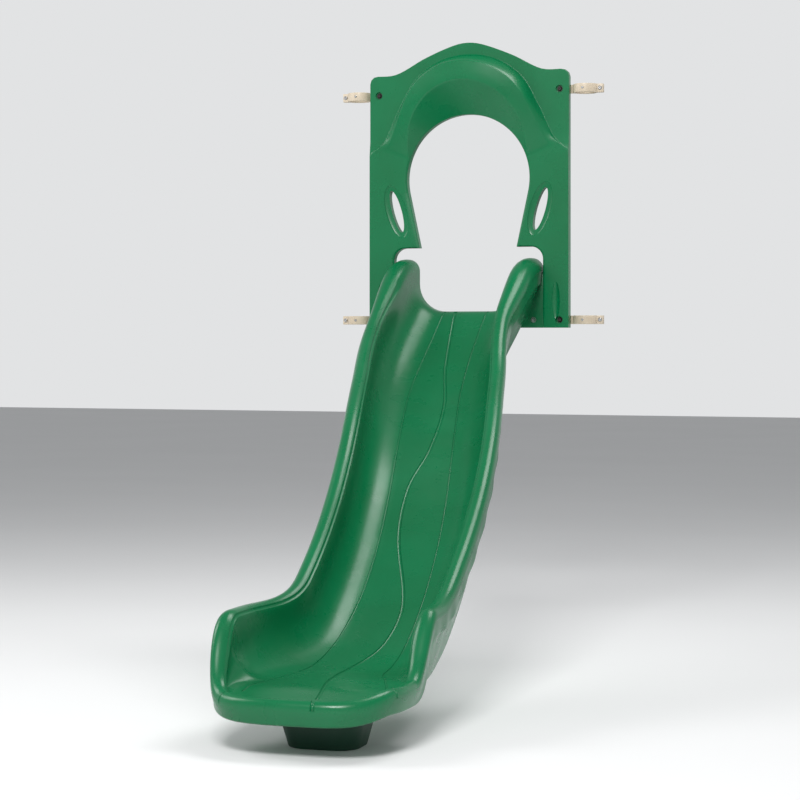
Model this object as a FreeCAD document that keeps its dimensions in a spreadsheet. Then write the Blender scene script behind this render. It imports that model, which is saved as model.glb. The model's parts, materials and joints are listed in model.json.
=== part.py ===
"""Wave slide with an entrance hood: a FreeCAD macro that builds every piece and writes one STEP each.

Millimetres, +Z up. The origin is the middle of the deck bolts' line, on the rear face of the
support bar, midway between the two posts. The chute runs down towards -Y and its exit lies to +X.
"""
import FreeCAD, Part
import math
import os

Vector = FreeCAD.Vector
Rotation = FreeCAD.Rotation

# ---------------------------------------------------------------- driving dimensions

SIZES = {
    # posts, deck and ground
    "post_spacing": 1066.8,
    "post_diameter": 88.9,
    "post_clearance": 0.05,
    "ground_drop": 1485.0,
    "lip_rise": 39.0,
    # path of the sliding bed
    "chute_reach": 2800.0,
    "exit_shift": 317.0,
    "first_turn": 14.0,
    "swing_back": 10.5,
    "exit_bed_height": 217.0,
    "brow_start": 25.0,
    "brow_length": 90.0,
    "runout_start": 1720.0,
    "runout_end": 2220.0,
    "wave_length": 1180.0,
    "wave_depth": 0.2,
    "exit_length": 400.0,
    "crest_lag": 60.0,
    "turn_start": 0.08,
    "turn_span": 0.18,
    "swing_start": 0.34,
    "swing_span": 0.28,
    # section of the chute
    "entry_half_width": 345.0,
    "run_half_width": 318.0,
    "side_height": 236.0,
    "entry_rail_radius": 54.0,
    "rail_radius": 34.0,
    "left_fall_start": 2560.0,
    "left_fall_length": 170.0,
    "right_fall_start": 2175.0,
    "right_fall_length": 270.0,
    "lip_height": 14.0,
    "lip_radius": 9.0,
    "nose_power": 3.0,
    "nose_tip_angle": 80.0,
    "nose_void_share": 0.8,
    "entry_blend_start": 60.0,
    "entry_blend_length": 300.0,
    "taper_lead": 500.0,
    "taper_length": 400.0,
    "exit_flare": 80.0,
    "flare_start": 1800.0,
    "flare_length": 550.0,
    "spread_lag": 280.0,
    "spread_length": 600.0,
    "cove_share": 0.8,
    "skirt_fade": 0.7,
    "bed_half_flat": 112.0,
    "exit_half_flat": 205.0,
    "bed_depth": 46.0,
    "skirt_drop": 70.0,
    "skirt_draft": 6.0,
    "side_taper": 70.0,
    "exit_side_taper": 18.0,
    "belly_radius": 24.0,
    "shell_wall": 6.0,
    "station_spacing": 85.0,
    # entrance flange of the chute
    "wing_half_width": 345.0,
    "wing_thickness": 10.0,
    "wing_top": 221.0,
    "trough_spare": 2.0,
    # support bar
    "bar_half_length": 448.0,
    "bar_height": 60.0,
    "bar_thickness": 6.0,
    "deck_bolt_spacing": 420.0,
    "deck_hole_diameter": 11.0,
    "wing_bolt_offset": 300.0,
    # hood
    "hood_half_width": 468.0,
    "hood_thickness": 40.0,
    "hood_foot": -35.0,
    "hood_shoulder": 1108.0,
    "hood_crown": 1243.0,
    "hood_corner_radius": 34.0,
    "hood_wall": 6.0,
    "leg_gap": 5.0,
    "door_radius": 288.0,
    "door_centre": 633.0,
    "door_waist": 228.0,
    "recess_height": 325.0,
    "recess_radius": 55.0,
    "visor_rooting": 4.0,
    "visor_reach": 104.0,
    "visor_root": 741.0,
    "visor_ridge": 1184.0,
    "visor_brow": 1149.0,
    "visor_lip": 1055.0,
    "visor_brow_inset": 60.0,
    "visor_tail": 120.0,
    "visor_root_drop": 12.0,
    "visor_front_drop": 10.0,
    "grip_offset": 338.0,
    "grip_height": 492.0,
    "grip_half_length": 98.0,
    "grip_half_width": 23.0,
    "grip_tilt": 16.0,
    # clamps
    "hood_bolt_offset": 425.0,
    "upper_clamp_height": 1020.0,
    "clamp_height": 38.0,
    "clamp_wall": 9.0,
    "clamp_split": 1.0,
    "split_depth": 7.5,
    "ear_reach": 26.0,
    "ear_thickness": 12.0,
    "tab_thickness": 7.0,
    "tab_overhang": 22.0,
    # fasteners
    "bolt_diameter": 9.5,
    "hole_clearance": 1.0,
    "head_diameter": 20.0,
    "head_height": 6.0,
    "key_width": 6.0,
    "nut_flats": 15.0,
    "nut_height": 8.0,
    "thread_spare": 4.0,
    "insert_spare": 2.0,
    "washer_diameter": 24.0,
    "washer_thickness": 2.0,
    "sleeve_wall": 2.0,
    "counterbore_diameter": 34.0,
    "counterbore_depth": 18.0,
    "rivet_diameter": 6.0,
    "rivet_head_diameter": 12.0,
    "rivet_head_height": 3.0,
    # exit foot
    "foot_setback": 340.0,
    "foot_top_half_width": 168.0,
    "foot_top_half_depth": 150.0,
    "foot_base_half_width": 128.0,
    "foot_base_half_depth": 112.0,
    "foot_corner_radius": 78.0,
    "foot_wall": 7.0,
    "foot_crown": 10.0,
    "seat_gap": 0.4,
    "foot_flange": 44.0,
    "foot_bolt_offset_x": 80.0,
    "foot_bolt_offset_y": 62.0,
    "insert_diameter": 18.0,
    "insert_length": 22.0,
    "anchor_hole_diameter": 13.0,
    "anchor_offset": 82.0,
}

doc = FreeCAD.newDocument("wave_slide")
sheet = doc.addObject("Spreadsheet::Sheet", "Sizes")
for row, (alias, value) in enumerate(SIZES.items(), start=1):
    sheet.set("A%d" % row, alias)
    sheet.set("B%d" % row, str(value))
    sheet.setAlias("B%d" % row, alias)
doc.recompute()

NODES = []


def size(alias):
    """Return one driving dimension from the sheet."""
    return float(sheet.get(alias))


def expression(text):
    """Turn a formula written with bare aliases into one that FreeCAD can bind."""
    words = sorted(SIZES, key=len, reverse=True)
    marks = {alias: "\x00%d\x00" % number for number, alias in enumerate(words)}
    for alias in words:
        text = text.replace(alias, marks[alias])
    for alias in words:
        text = text.replace(marks[alias], "Sizes." + alias)
    return text


def bind(item, **formulas):
    """Bind properties of an object to formulas of the sheet's values."""
    for name, text in formulas.items():
        item.setExpression(name, expression(text))


def move_to(item, place, rotation=None):
    """Bind an object's position to three formulas and turn it."""
    if rotation:
        item.Placement = FreeCAD.Placement(Vector(), rotation)
    for axis, text in zip("xyz", place):
        item.setExpression("Placement.Base." + axis, expression(text))


TOWARDS_BACK = Rotation(Vector(1, 0, 0), -90)
TOWARDS_FRONT = Rotation(Vector(1, 0, 0), 90)


def box(name, corner, length, width, height):
    """Make a block from its lowest corner and three side lengths, all formulas."""
    item = doc.addObject("Part::Box", name)
    bind(item, Length=length, Width=width, Height=height)
    move_to(item, corner)
    return item


def cylinder(name, radius, height, place=("0", "0", "0"), rotation=None):
    """Make a cylinder that grows along its own +Z from a place."""
    item = doc.addObject("Part::Cylinder", name)
    bind(item, Radius=radius, Height=height)
    move_to(item, place, rotation)
    return item


def fuse(name, items):
    """Join several solids into one."""
    item = doc.addObject("Part::MultiFuse", name)
    item.Shapes = items
    return item


def cut(name, base, tools):
    """Cut the tools out of a solid."""
    tool = tools[0]
    if len(tools) > 1:
        tool = fuse(name + "_tools", tools)
    item = doc.addObject("Part::Cut", name)
    item.Base = base
    item.Tool = tool
    return item


def node(item, label):
    """Give a finished piece its name and put it on the list of nodes."""
    item.Label = label
    NODES.append(item)
    return item


def feature(label, shape):
    """Make a node from a shape that was worked out with Part's own functions."""
    item = doc.addObject("Part::Feature", label)
    item.Shape = shape
    return node(item, label)


def group(label, master, places, rotation):
    """Make one node from copies of a fastener, one solid at each place."""
    doc.recompute()
    copies = []
    for place in places:
        copy = master.Shape.copy()
        copy.Placement = FreeCAD.Placement(Vector(*place), rotation)
        copies.append(copy)
    return feature(label, Part.makeCompound(copies))


# ---------------------------------------------------------------- path of the sliding bed

PATH_STEPS = 560


def smoothstep(value):
    """Ease from 0 to 1."""
    value = min(max(value, 0.0), 1.0)
    return value * value * (3 - 2 * value)


class BedPath:
    """Centreline of the bed: height and sideways place as functions of the run."""

    def __init__(self):
        self.reach = size("chute_reach")
        self.top = size("lip_rise")
        self.drop = size("lip_rise") + size("ground_drop") - size("exit_bed_height")
        self.step = self.reach / PATH_STEPS
        falls = [0.0]
        for index in range(PATH_STEPS):
            falls.append(falls[-1] + self.relative_slope((index + 0.5) * self.step))
        self.heights = [self.top - self.drop * fall / falls[-1] for fall in falls]
        turns = [math.radians(self.heading_degrees(index * self.step))
                 for index in range(PATH_STEPS + 1)]
        drifts = [0.0]
        for first, last in zip(turns, turns[1:]):
            drifts.append(drifts[-1] + self.step * math.tan((first + last) / 2))
        scale = size("exit_shift") / drifts[-1]
        self.sides = [scale * drift for drift in drifts]
        self.headings = [math.atan(scale * math.tan(turn)) for turn in turns]

    def relative_slope(self, run):
        """Slope of the bed before it is scaled to the drop: brow, waves, run-out."""
        brow = smoothstep((run - size("brow_start")) / size("brow_length"))
        length = size("runout_end") - size("runout_start")
        runout = 1 - smoothstep((run - size("runout_start")) / length)
        crest = size("brow_start") + size("brow_length") + size("crest_lag")
        wave = 1 + size("wave_depth") * math.cos(2 * math.pi * (run - crest) / size("wave_length"))
        return brow * runout * wave

    def heading_degrees(self, run):
        """Heading of the path seen from above before it is scaled: out and part of the way back."""
        reach = self.reach
        out = smoothstep((run / reach - size("turn_start")) / size("turn_span"))
        back = smoothstep((run / reach - size("swing_start")) / size("swing_span"))
        return size("first_turn") * out - size("swing_back") * back

    def sample(self, values, run):
        """Read a list of values along the path at a run."""
        place = min(max(run / self.step, 0.0), PATH_STEPS - 1e-6)
        index = int(place)
        share = place - index
        return values[index] * (1 - share) + values[index + 1] * share

    def height(self, run):
        """Height of the bed at a run."""
        return self.sample(self.heights, run)

    def pitch(self, run):
        """Downward slope of the bed as an angle."""
        gap = 8.0
        fall = self.height(run - gap) - self.height(run + gap)
        span = min(run + gap, self.reach) - max(run - gap, 0.0)
        return math.atan2(fall, span)

    def side(self, run):
        """Sideways place of the centreline and its heading angle."""
        return self.sample(self.sides, run), self.sample(self.headings, run)

    def frame(self, run):
        """Return a function that places a section's point (across, up) at a run."""
        across, heading = self.side(run)
        pitch = self.pitch(run)
        origin = Vector(across, -run, self.height(run))
        sideways = Vector(math.cos(heading), math.sin(heading), 0)
        up = Vector(math.sin(pitch) * math.sin(heading), -math.sin(pitch) * math.cos(heading),
                    math.cos(pitch))
        return lambda across, rise: origin + sideways * across + up * rise


path = BedPath()


# ---------------------------------------------------------------- chute

class Section:
    """Half outline of the chute at one run and side: bed, side, rolled rail, outer side, belly."""

    def __init__(self, run, side, inset=0.0):
        start = size("chute_reach") - size("exit_length")
        entry = smoothstep((run - size("entry_blend_start")) / size("entry_blend_length"))
        upright = smoothstep((run - start + size("taper_lead")) / size("taper_length"))
        width = size("entry_half_width") * (1 - entry) + size("run_half_width") * entry
        if side < 0:
            flare = smoothstep((run - size("flare_start")) / size("flare_length"))
            width += size("exit_flare") * flare
        rail = size("entry_rail_radius") * (1 - entry) + size("rail_radius") * entry
        rise = size("side_height")
        skirt = size("skirt_drop")
        taper = size("side_taper") * (1 - upright) + size("exit_side_taper") * upright
        fall_start = size("left_fall_start") if side < 0 else size("right_fall_start")
        fall_length = size("left_fall_length") if side < 0 else size("right_fall_length")
        fall = smoothstep((run - fall_start) / fall_length)
        rise = rise * (1 - fall) + size("lip_height") * fall
        rail = rail * (1 - fall) + size("lip_radius") * fall
        skirt *= 1 - size("skirt_fade") * fall
        if run > start:
            share = (run - start) / size("exit_length")
            power = size("nose_power")
            width *= (1 - share ** power) ** (1 / power)
        inner = width - 2 * rail
        spread = smoothstep((run - size("runout_start") - size("spread_lag"))
                            / size("spread_length"))
        flat = size("bed_half_flat") * (1 - spread) + size("exit_half_flat") * spread
        cove = size("cove_share")
        bend = min(inner - min(flat, cove * inner), cove * (rise - rail))
        self.side = side
        self.width = width - inset
        self.rail = rail - inset
        self.rise = rise - inset
        self.inner = inner + inset
        self.bend = bend
        self.skirt = skirt
        self.low = width - taper - inset
        self.floor = -inset
        self.bottom = inset - size("bed_depth")
        self.belly = size("belly_radius") - inset

    def edges(self, place):
        """Edges of the half outline from the bed's middle round to the belly's, placed in space."""
        corner = 1 - 0.5 ** 0.5
        shoulder = self.rise - self.rail
        bed_end = self.inner - self.bend
        wall_foot = self.floor + self.bend
        half = [
            [(bed_end, self.floor)],
            [(self.inner - self.bend * corner, self.floor + self.bend * corner),
             (self.inner, wall_foot)],
            [(self.inner, shoulder)],
            [(self.width - self.rail, self.rise), (self.width, shoulder)],
            [(self.width - size("skirt_draft"), shoulder - self.skirt)],
            [(self.low, self.bottom + self.belly)],
            [(self.low - self.belly * corner, self.bottom + self.belly * corner),
             (self.low - self.belly, self.bottom)],
            [(0.0, self.bottom)],
        ]
        edges = []
        last = (0.0, self.floor)
        for move in half:
            end = move[-1]
            first = place(self.side * last[0], last[1])
            finish = place(self.side * end[0], end[1])
            if len(move) == 1:
                edges.append(Part.LineSegment(first, finish).toShape())
            else:
                middle = place(self.side * move[0][0], move[0][1])
                edges.append(Part.Arc(first, middle, finish).toShape())
            last = end
        return edges


def section_wire(run, inset):
    """Closed outline of the chute at a run, from its two halves."""
    place = path.frame(run)
    edges = Section(run, 1, inset).edges(place) + Section(run, -1, inset).edges(place)
    return Part.Wire(Part.__sortEdges__(edges))


BROW_RUNS = [25.0, 45.0, 65.0, 85.0, 105.0, 130.0, 160.0, 200.0]
EXIT_ANGLES = [10, 20, 28, 36, 43, 50, 57, 64, 71, 76]


def chute_stations(first, last):
    """Runs at which sections stand: close at the brow and the exit, even between."""
    start = size("chute_reach") - size("exit_length")
    even = int((start - BROW_RUNS[-1]) / size("station_spacing"))
    stations = [first] + BROW_RUNS
    stations += [BROW_RUNS[-1] + (start - BROW_RUNS[-1]) * number / even
                 for number in range(1, even + 1)]
    stations += [start + size("exit_length") * math.sin(math.radians(turn))
                 for turn in EXIT_ANGLES]
    gap = 4.0
    return [run for run in stations if first <= run < last - gap] + [last]


def chute_loft(first, last, inset):
    """Loft the chute's outline between two runs, straight from each section to the next."""
    wires = [section_wire(run, inset) for run in chute_stations(first, last)]
    return Part.makeLoft(wires, True, True)


def trough_block(low, high, top):
    """Solid a little larger than the trough at the entrance, between two depths, up to a height."""
    section = Section(size("bar_thickness"), 1, size("trough_spare"))
    floor = size("lip_rise") + section.floor
    corner = 1 - 0.5 ** 0.5
    bed_end = section.inner - section.bend
    edges = []
    for side in (1, -1):
        points = [Vector(side * across, low, height) for across, height in (
            (0, floor), (bed_end, floor),
            (section.inner - section.bend * corner, floor + section.bend * corner),
            (section.inner, floor + section.bend), (section.inner, top), (0, top))]
        edges.append(Part.LineSegment(points[0], points[1]).toShape())
        edges.append(Part.Arc(points[1], points[2], points[3]).toShape())
        edges.append(Part.LineSegment(points[3], points[4]).toShape())
        edges.append(Part.LineSegment(points[4], points[5]).toShape())
    wire = Part.Wire(Part.__sortEdges__(edges))
    return Part.Face(wire).extrude(Vector(0, high - low, 0))


def rod(radius, length, place, direction):
    """Plain cylinder used as a cutting tool."""
    return Part.makeCylinder(radius, length, Vector(*place), Vector(*direction))


def hole_radius():
    """Radius of a clearance hole for the common bolt."""
    return (size("bolt_diameter") + size("hole_clearance")) / 2


def wing_bolt_places():
    """Places of the chute's flange bolts along the support bar."""
    offset = size("wing_bolt_offset")
    return [-offset, offset]


def foot_frame():
    """Centre of the foot on the ground and the exit's heading in degrees."""
    run = size("chute_reach") - size("foot_setback")
    across, heading = path.side(run)
    return Vector(across, -run, -size("ground_drop")), math.degrees(heading)


def foot_places(offset_x, offset_y, height):
    """Four places about the foot's centre, turned with the exit."""
    centre, heading = foot_frame()
    turn = Rotation(Vector(0, 0, 1), heading)
    corners = [(-1, -1), (1, -1), (1, 1), (-1, 1)]
    return [centre + turn.multVec(Vector(a * offset_x, b * offset_y, height)) for a, b in corners]


def belly_height():
    """Height of the chute's underside above the ground at the exit."""
    return size("exit_bed_height") - size("bed_depth")


def make_chute():
    """One moulding: hollow walls round the bed, entrance flange, rolled rails and exit lip."""
    back = size("bar_thickness")
    reach = size("chute_reach")
    start = reach - size("exit_length")
    tip = start + size("exit_length") * math.sin(math.radians(size("nose_tip_angle")))
    wall = size("shell_wall")
    body = chute_loft(back, tip, 0.0)
    wing = size("wing_half_width")
    low = size("hood_foot")
    plate = Part.makeBox(2 * wing, size("wing_thickness"), size("wing_top") - low,
                         Vector(-wing, -back - size("wing_thickness"), low))
    tall = size("wing_top") + 1
    plate = plate.cut(trough_block(-back - size("wing_thickness") - 1, -back + 1, tall))
    body = body.fuse(plate)
    void = chute_loft(back + 2 * wall, start + size("nose_void_share") * size("exit_length"), wall)
    body = body.cut(void)
    tools = []
    for across in wing_bolt_places():
        tools.append(rod(hole_radius(), 60, (across, -60, 0), (0, 1, 0)))
    for place in foot_places(size("foot_bolt_offset_x"), size("foot_bolt_offset_y"), 0):
        seat = place + Vector(0, 0, belly_height() - 1)
        tools.append(rod(size("insert_diameter") / 2, size("insert_length") + 1, seat, (0, 0, 1)))
    bosses = []
    for place in foot_places(size("foot_bolt_offset_x"), size("foot_bolt_offset_y"), 0):
        seat = place + Vector(0, 0, belly_height() + wall / 2)
        height = size("bed_depth") - wall
        bosses.append(rod(size("insert_diameter") / 2 + wall, height, seat, (0, 0, 1)))
    for boss in bosses:
        body = body.fuse(boss)
    for tool in tools:
        body = body.cut(tool)
    return feature("chute", body)


# ---------------------------------------------------------------- hood

def flat_point(across, height, depth):
    """Point of an upright outline."""
    return Vector(across, depth, height)


def door_edges(depth, growth, foot):
    """Doorway: straight jambs that lean out from the waist, closed by a tangent arch.

    growth widens it all round, and foot is the height where its jambs start.
    """
    radius = size("door_radius") + growth
    centre = size("door_centre")
    waist = size("door_waist") + growth
    reach = math.hypot(waist, centre - foot)
    swing = math.atan2(foot - centre, waist) + math.acos(radius / reach)
    touch = (radius * math.cos(swing), centre + radius * math.sin(swing))
    right_jamb = (flat_point(waist, foot, depth), flat_point(touch[0], touch[1], depth))
    left_jamb = (flat_point(-touch[0], touch[1], depth), flat_point(-waist, foot, depth))
    crown = flat_point(0, centre + radius, depth)
    return right_jamb, crown, left_jamb


def line_edge(first, last):
    """Straight edge between two points."""
    return Part.LineSegment(first, last).toShape()


def quarter_edge(centre, radius, across_sign, height_sign, depth):
    """Quarter circle from above or below its centre to beside it."""
    root = radius * 0.5 ** 0.5
    ends = (flat_point(centre[0], centre[1] + height_sign * radius, depth),
            flat_point(centre[0] + across_sign * radius, centre[1], depth))
    middle = flat_point(centre[0] + across_sign * root, centre[1] + height_sign * root, depth)
    return Part.Arc(ends[0], middle, ends[1]).toShape()


def hood_outline(depth, inset):
    """Closed outline of the hood: arched top, legs, recesses over the rails and the doorway."""
    half = size("hood_half_width") - inset
    low = size("hood_foot") + inset
    corner = size("hood_corner_radius") - inset
    shoulder = size("hood_shoulder") - inset
    rise = size("hood_crown") - size("hood_shoulder")
    leg = size("wing_half_width") + size("leg_gap") + inset
    recess = size("recess_height") + inset
    bend = size("recess_radius") + inset
    shelf = half - corner
    right_jamb, arch, left_jamb = door_edges(depth, inset, recess)
    knots = [(shelf, 0.0), (0.84 * shelf, 0.045), (0.506 * shelf, 0.54), (0, 1.0)]
    knots += [(-across, share) for across, share in reversed(knots[:-1])]
    top = Part.BSplineCurve()
    top.interpolate(Points=[flat_point(across, shoulder + share * rise, depth)
                            for across, share in knots],
                    InitialTangent=Vector(-1, 0, 0), FinalTangent=Vector(-1, 0, 0))
    edges = [top.toShape(), Part.Arc(right_jamb[1], arch, left_jamb[0]).toShape()]
    jambs = {1: right_jamb, -1: (left_jamb[1], left_jamb[0])}
    for side, jamb in jambs.items():
        outer_top = flat_point(side * half, shoulder - corner, depth)
        outer_foot = flat_point(side * half, low, depth)
        inner_foot = flat_point(side * leg, low, depth)
        inner_top = flat_point(side * leg, recess - bend, depth)
        recess_end = flat_point(side * (leg - bend), recess, depth)
        edges.append(quarter_edge((side * shelf, shoulder - corner), corner, side, 1, depth))
        edges.append(line_edge(outer_top, outer_foot))
        edges.append(line_edge(outer_foot, inner_foot))
        edges.append(line_edge(inner_foot, inner_top))
        edges.append(quarter_edge((side * (leg - bend), recess - bend), bend, side, 1, depth))
        edges.append(line_edge(recess_end, jamb[0]))
        edges.append(line_edge(*jamb))
    return Part.Wire(Part.__sortEdges__(edges))


def grip_tool(side, depth, length, growth):
    """Leaning oval hand grip cut through the hood beside the doorway."""
    long = size("grip_half_length") + growth
    short = size("grip_half_width") + growth
    oval = Part.Ellipse(Vector(), long, short).toShape()
    solid = Part.Face(Part.Wire([oval])).extrude(Vector(0, 0, length))
    upright = Rotation(Vector(1, 0, 0), -90)
    lean = Rotation(Vector(0, 1, 0), -side * (90 - size("grip_tilt")))
    solid.Placement = FreeCAD.Placement(Vector(), lean.multiply(upright))
    solid = solid.copy()
    solid.translate(Vector(side * size("grip_offset"), depth, size("grip_height")))
    return solid


def visor_outline(depth, ridge, half):
    """Outer outline of the visor: an arch that stands on the leg tops."""
    root = size("visor_root")
    low = root - size("visor_tail")
    points = [(half, root), (0.69 * half, root + 0.47 * (ridge - root)),
              (0.47 * half, root + 0.83 * (ridge - root)), (0, ridge)]
    points += [(-across, height) for across, height in reversed(points[:-1])]
    top = Part.BSplineCurve()
    top.interpolate([flat_point(*point, depth) for point in points])
    first = flat_point(*points[0], depth)
    last = flat_point(*points[-1], depth)
    right = flat_point(half, low, depth)
    left = flat_point(-half, low, depth)
    lines = [Part.LineSegment(last, left), Part.LineSegment(left, right),
             Part.LineSegment(right, first)]
    return Part.Wire([top.toShape()] + [item.toShape() for item in lines])


def doorway_cone(front, visor_front):
    """Opening under the visor, wider towards its lip."""
    growth = size("visor_lip") - size("door_centre") - size("door_radius")
    wires = []
    for depth, grown in ((front + size("visor_rooting") + 1, 0.0), (visor_front - 1, growth)):
        right_jamb, arch, left_jamb = door_edges(depth, grown, size("recess_height"))
        low = size("recess_height") - 5
        foot_right = flat_point(right_jamb[0].x, low, depth)
        foot_left = flat_point(left_jamb[1].x, low, depth)
        edges = [Part.LineSegment(foot_right, right_jamb[1]).toShape(),
                 Part.Arc(right_jamb[1], arch, left_jamb[0]).toShape(),
                 Part.LineSegment(left_jamb[0], foot_left).toShape(),
                 Part.LineSegment(foot_left, foot_right).toShape()]
        wires.append(Part.Wire(edges))
    return Part.makeLoft(wires, True, True)


def make_hood():
    """One moulding: arched panel with legs, doorway, hand grips and a visor over the doorway."""
    back = -size("bar_thickness")
    thick = size("hood_thickness")
    front = back - thick
    wall = size("hood_wall")
    reach = size("visor_reach")
    body = Part.Face(hood_outline(back, 0.0)).extrude(Vector(0, -thick, 0))
    visor_front = front - reach
    half = size("hood_half_width")
    seat = front + size("visor_rooting")
    lofted = Part.makeLoft([visor_outline(seat, size("visor_ridge"), half),
                            visor_outline(visor_front, size("visor_brow"),
                                          half - size("visor_brow_inset"))], True, True)
    above = size("hood_crown")
    root = size("visor_root")
    wedge_points = [(seat, root - size("visor_root_drop")),
                    (front, root - size("visor_front_drop")),
                    (visor_front, size("visor_lip")), (visor_front, above), (seat, above)]
    wide = size("hood_half_width") + thick
    corners = [Vector(-wide, depth, height) for depth, height in wedge_points]
    wedge = Part.Face(Part.makePolygon(corners + corners[:1])).extrude(Vector(2 * wide, 0, 0))
    visor = lofted.common(wedge).cut(doorway_cone(front, visor_front))
    body = body.fuse(visor)
    void = Part.Face(hood_outline(back - wall, wall)).extrude(Vector(0, 2 * wall - thick, 0))
    for side in (1, -1):
        body = body.cut(grip_tool(side, front - 5, thick + 10, 0.0))
        void = void.cut(grip_tool(side, front - 5, thick + 10, wall))
    radius = size("counterbore_diameter") / 2
    for place in hood_bolt_places():
        void = void.cut(rod(radius + wall, thick + 2, (place[0], front - 1, place[1]), (0, 1, 0)))
    body = body.cut(void)
    for place in hood_bolt_places():
        body = body.cut(rod(sleeve_radius(), thick + 2, (place[0], front - 1, place[1]), (0, 1, 0)))
        body = body.cut(rod(radius, size("counterbore_depth") + 1,
                            (place[0], front - 1, place[1]), (0, 1, 0)))
    return feature("hood", body)


def hood_bolt_places():
    """Across and height of the four hood bolts: upper corners, then the feet of the legs."""
    offset = size("hood_bolt_offset")
    upper = size("upper_clamp_height")
    return [(-offset, upper), (offset, upper), (-offset, 0.0), (offset, 0.0)]


def sleeve_radius():
    """Outer radius of the steel sleeves moulded into the hood."""
    return hole_radius() + size("sleeve_wall")


# ---------------------------------------------------------------- support bar

def make_support_bar():
    """Flat steel bar across the entrance, behind the chute's flange and the hood's legs."""
    bar = box("bar_blank", ("-bar_half_length", "-bar_thickness", "-bar_height / 2"),
              "2 * bar_half_length", "bar_thickness", "bar_height")
    radius = "(bolt_diameter + hole_clearance) / 2"
    tools = []
    for number, across in enumerate(("-wing_bolt_offset", "wing_bolt_offset",
                                     "-hood_bolt_offset", "hood_bolt_offset")):
        tools.append(cylinder("bar_hole_%d" % number, radius, "bar_thickness + 2",
                              (across, "-bar_thickness - 1", "0"), TOWARDS_BACK))
    for number, side in enumerate(("-", "")):
        tools.append(cylinder("deck_hole_%d" % number, "deck_hole_diameter / 2",
                              "bar_thickness + 2",
                              (side + "deck_bolt_spacing / 2", "-bar_thickness - 1", "0"),
                              TOWARDS_BACK))
    return node(cut("bar_drilled", bar, tools), "support_bar")


# ---------------------------------------------------------------- post clamps

def make_clamp(label, side, height):
    """Front and rear halves of one post clamp, each with a tab towards the hood.

    side is "-" for the left post and "" for the right one, and height is a formula.
    """
    post = side + "post_spacing / 2"
    outward = "-" if side == "-" else "+"
    radius = "(post_diameter / 2 + post_clearance)"
    outer = "(post_diameter / 2 + post_clearance + clamp_wall)"
    low = height + " - clamp_height / 2"
    tab_reach = "(post_spacing / 2 - hood_bolt_offset + tab_overhang)"
    ear_reach = "(%s + ear_reach)" % outer
    reach = "(2 * post_diameter)"
    front_face = "(split_depth - clamp_split / 2)"
    rear_face = "(split_depth + clamp_split / 2)"
    depths = {"front": (front_face + " - " + reach, front_face + " - ear_thickness",
                        front_face + " - tab_thickness"),
              "rear": (rear_face, rear_face, rear_face)}
    for half, (keep_depth, ear_depth, tab_depth) in depths.items():
        tag = label + "_" + half
        shell = cylinder(tag + "_shell", outer, "clamp_height", (post, "0", low))
        keep = box(tag + "_keep", (post + " - " + reach, keep_depth, low + " - 1"),
                   "2 * " + reach, reach, "clamp_height + 2")
        halved = doc.addObject("Part::Common", tag + "_halved")
        halved.Base = shell
        halved.Tool = keep
        ear_corner = post + (" - " + ear_reach if outward == "-" else "")
        tab_corner = post + ("" if outward == "-" else " - " + tab_reach)
        ear = box(tag + "_ear", (ear_corner, ear_depth, low), ear_reach, "ear_thickness",
                  "clamp_height")
        tab = box(tag + "_tab", (tab_corner, tab_depth, low), tab_reach, "tab_thickness",
                  "clamp_height")
        blank = fuse(tag + "_blank", [halved, ear, tab])
        bore = cylinder(tag + "_bore", radius, "clamp_height + 2", (post, "0", low + " - 1"))
        slot = box(tag + "_slot", (post + " - " + radius, "0", low + " - 1"), "2 * " + radius,
                   front_face, "clamp_height + 2")
        hole = "(bolt_diameter + hole_clearance) / 2"
        ear_hole = cylinder(tag + "_ear_hole", hole, "2 * clamp_height", (
            "%s %s (%s + ear_reach / 2)" % (post, outward, outer), "-clamp_height", height),
                            TOWARDS_BACK)
        tab_hole = cylinder(tag + "_tab_hole", hole, "2 * clamp_height",
                            (side + "hood_bolt_offset", "-clamp_height", height), TOWARDS_BACK)
        tools = [bore, ear_hole, tab_hole]
        if half == "front":
            tools.append(slot)
            tools.append(cylinder(tag + "_rivet_hole", "rivet_diameter / 2", "clamp_wall + 20",
                                  (post, "-%s - 10" % outer, height), TOWARDS_BACK))
        node(cut(tag + "_drilled", blank, tools), tag)


CLAMPS = [
    ("upper_left_clamp", "-", "upper_clamp_height"),
    ("upper_right_clamp", "", "upper_clamp_height"),
    ("lower_left_clamp", "-", "0"),
    ("lower_right_clamp", "", "0"),
]


# ---------------------------------------------------------------- fasteners

def master_bolt(name, length):
    """Button-head bolt with a hexagonal key socket; the seat of the head is at its origin."""
    shank = cylinder(name + "_shank", "bolt_diameter / 2", str(length), ("0", "0", str(-length)))
    head = doc.addObject("Part::Cone", name + "_head")
    bind(head, Radius1="head_diameter / 2", Radius2="head_diameter / 3", Height="head_height")
    body = fuse(name + "_solid", [shank, head])
    key = doc.addObject("Part::Prism", name + "_key")
    key.Polygon = 6
    bind(key, Circumradius="key_width / sqrt(3)", Height="head_height")
    move_to(key, ("0", "0", "head_height / 2"))
    return cut(name, body, [key])


def master_nut(name):
    """Hexagonal nut with its lower face at the origin."""
    blank = doc.addObject("Part::Prism", name + "_blank")
    blank.Polygon = 6
    bind(blank, Circumradius="nut_flats / sqrt(3)", Height="nut_height")
    bore = cylinder(name + "_bore", "bolt_diameter / 2", "nut_height + 2", ("0", "0", "-1"))
    return cut(name, blank, [bore])


def master_ring(name, outer, inner, height):
    """Plain ring: a washer, a spacer or a sleeve, from its lower face upwards."""
    blank = cylinder(name + "_blank", outer, height)
    bore = cylinder(name + "_bore", inner, "(" + height + ") + 2", ("0", "0", "-1"))
    return cut(name, blank, [bore])


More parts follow.
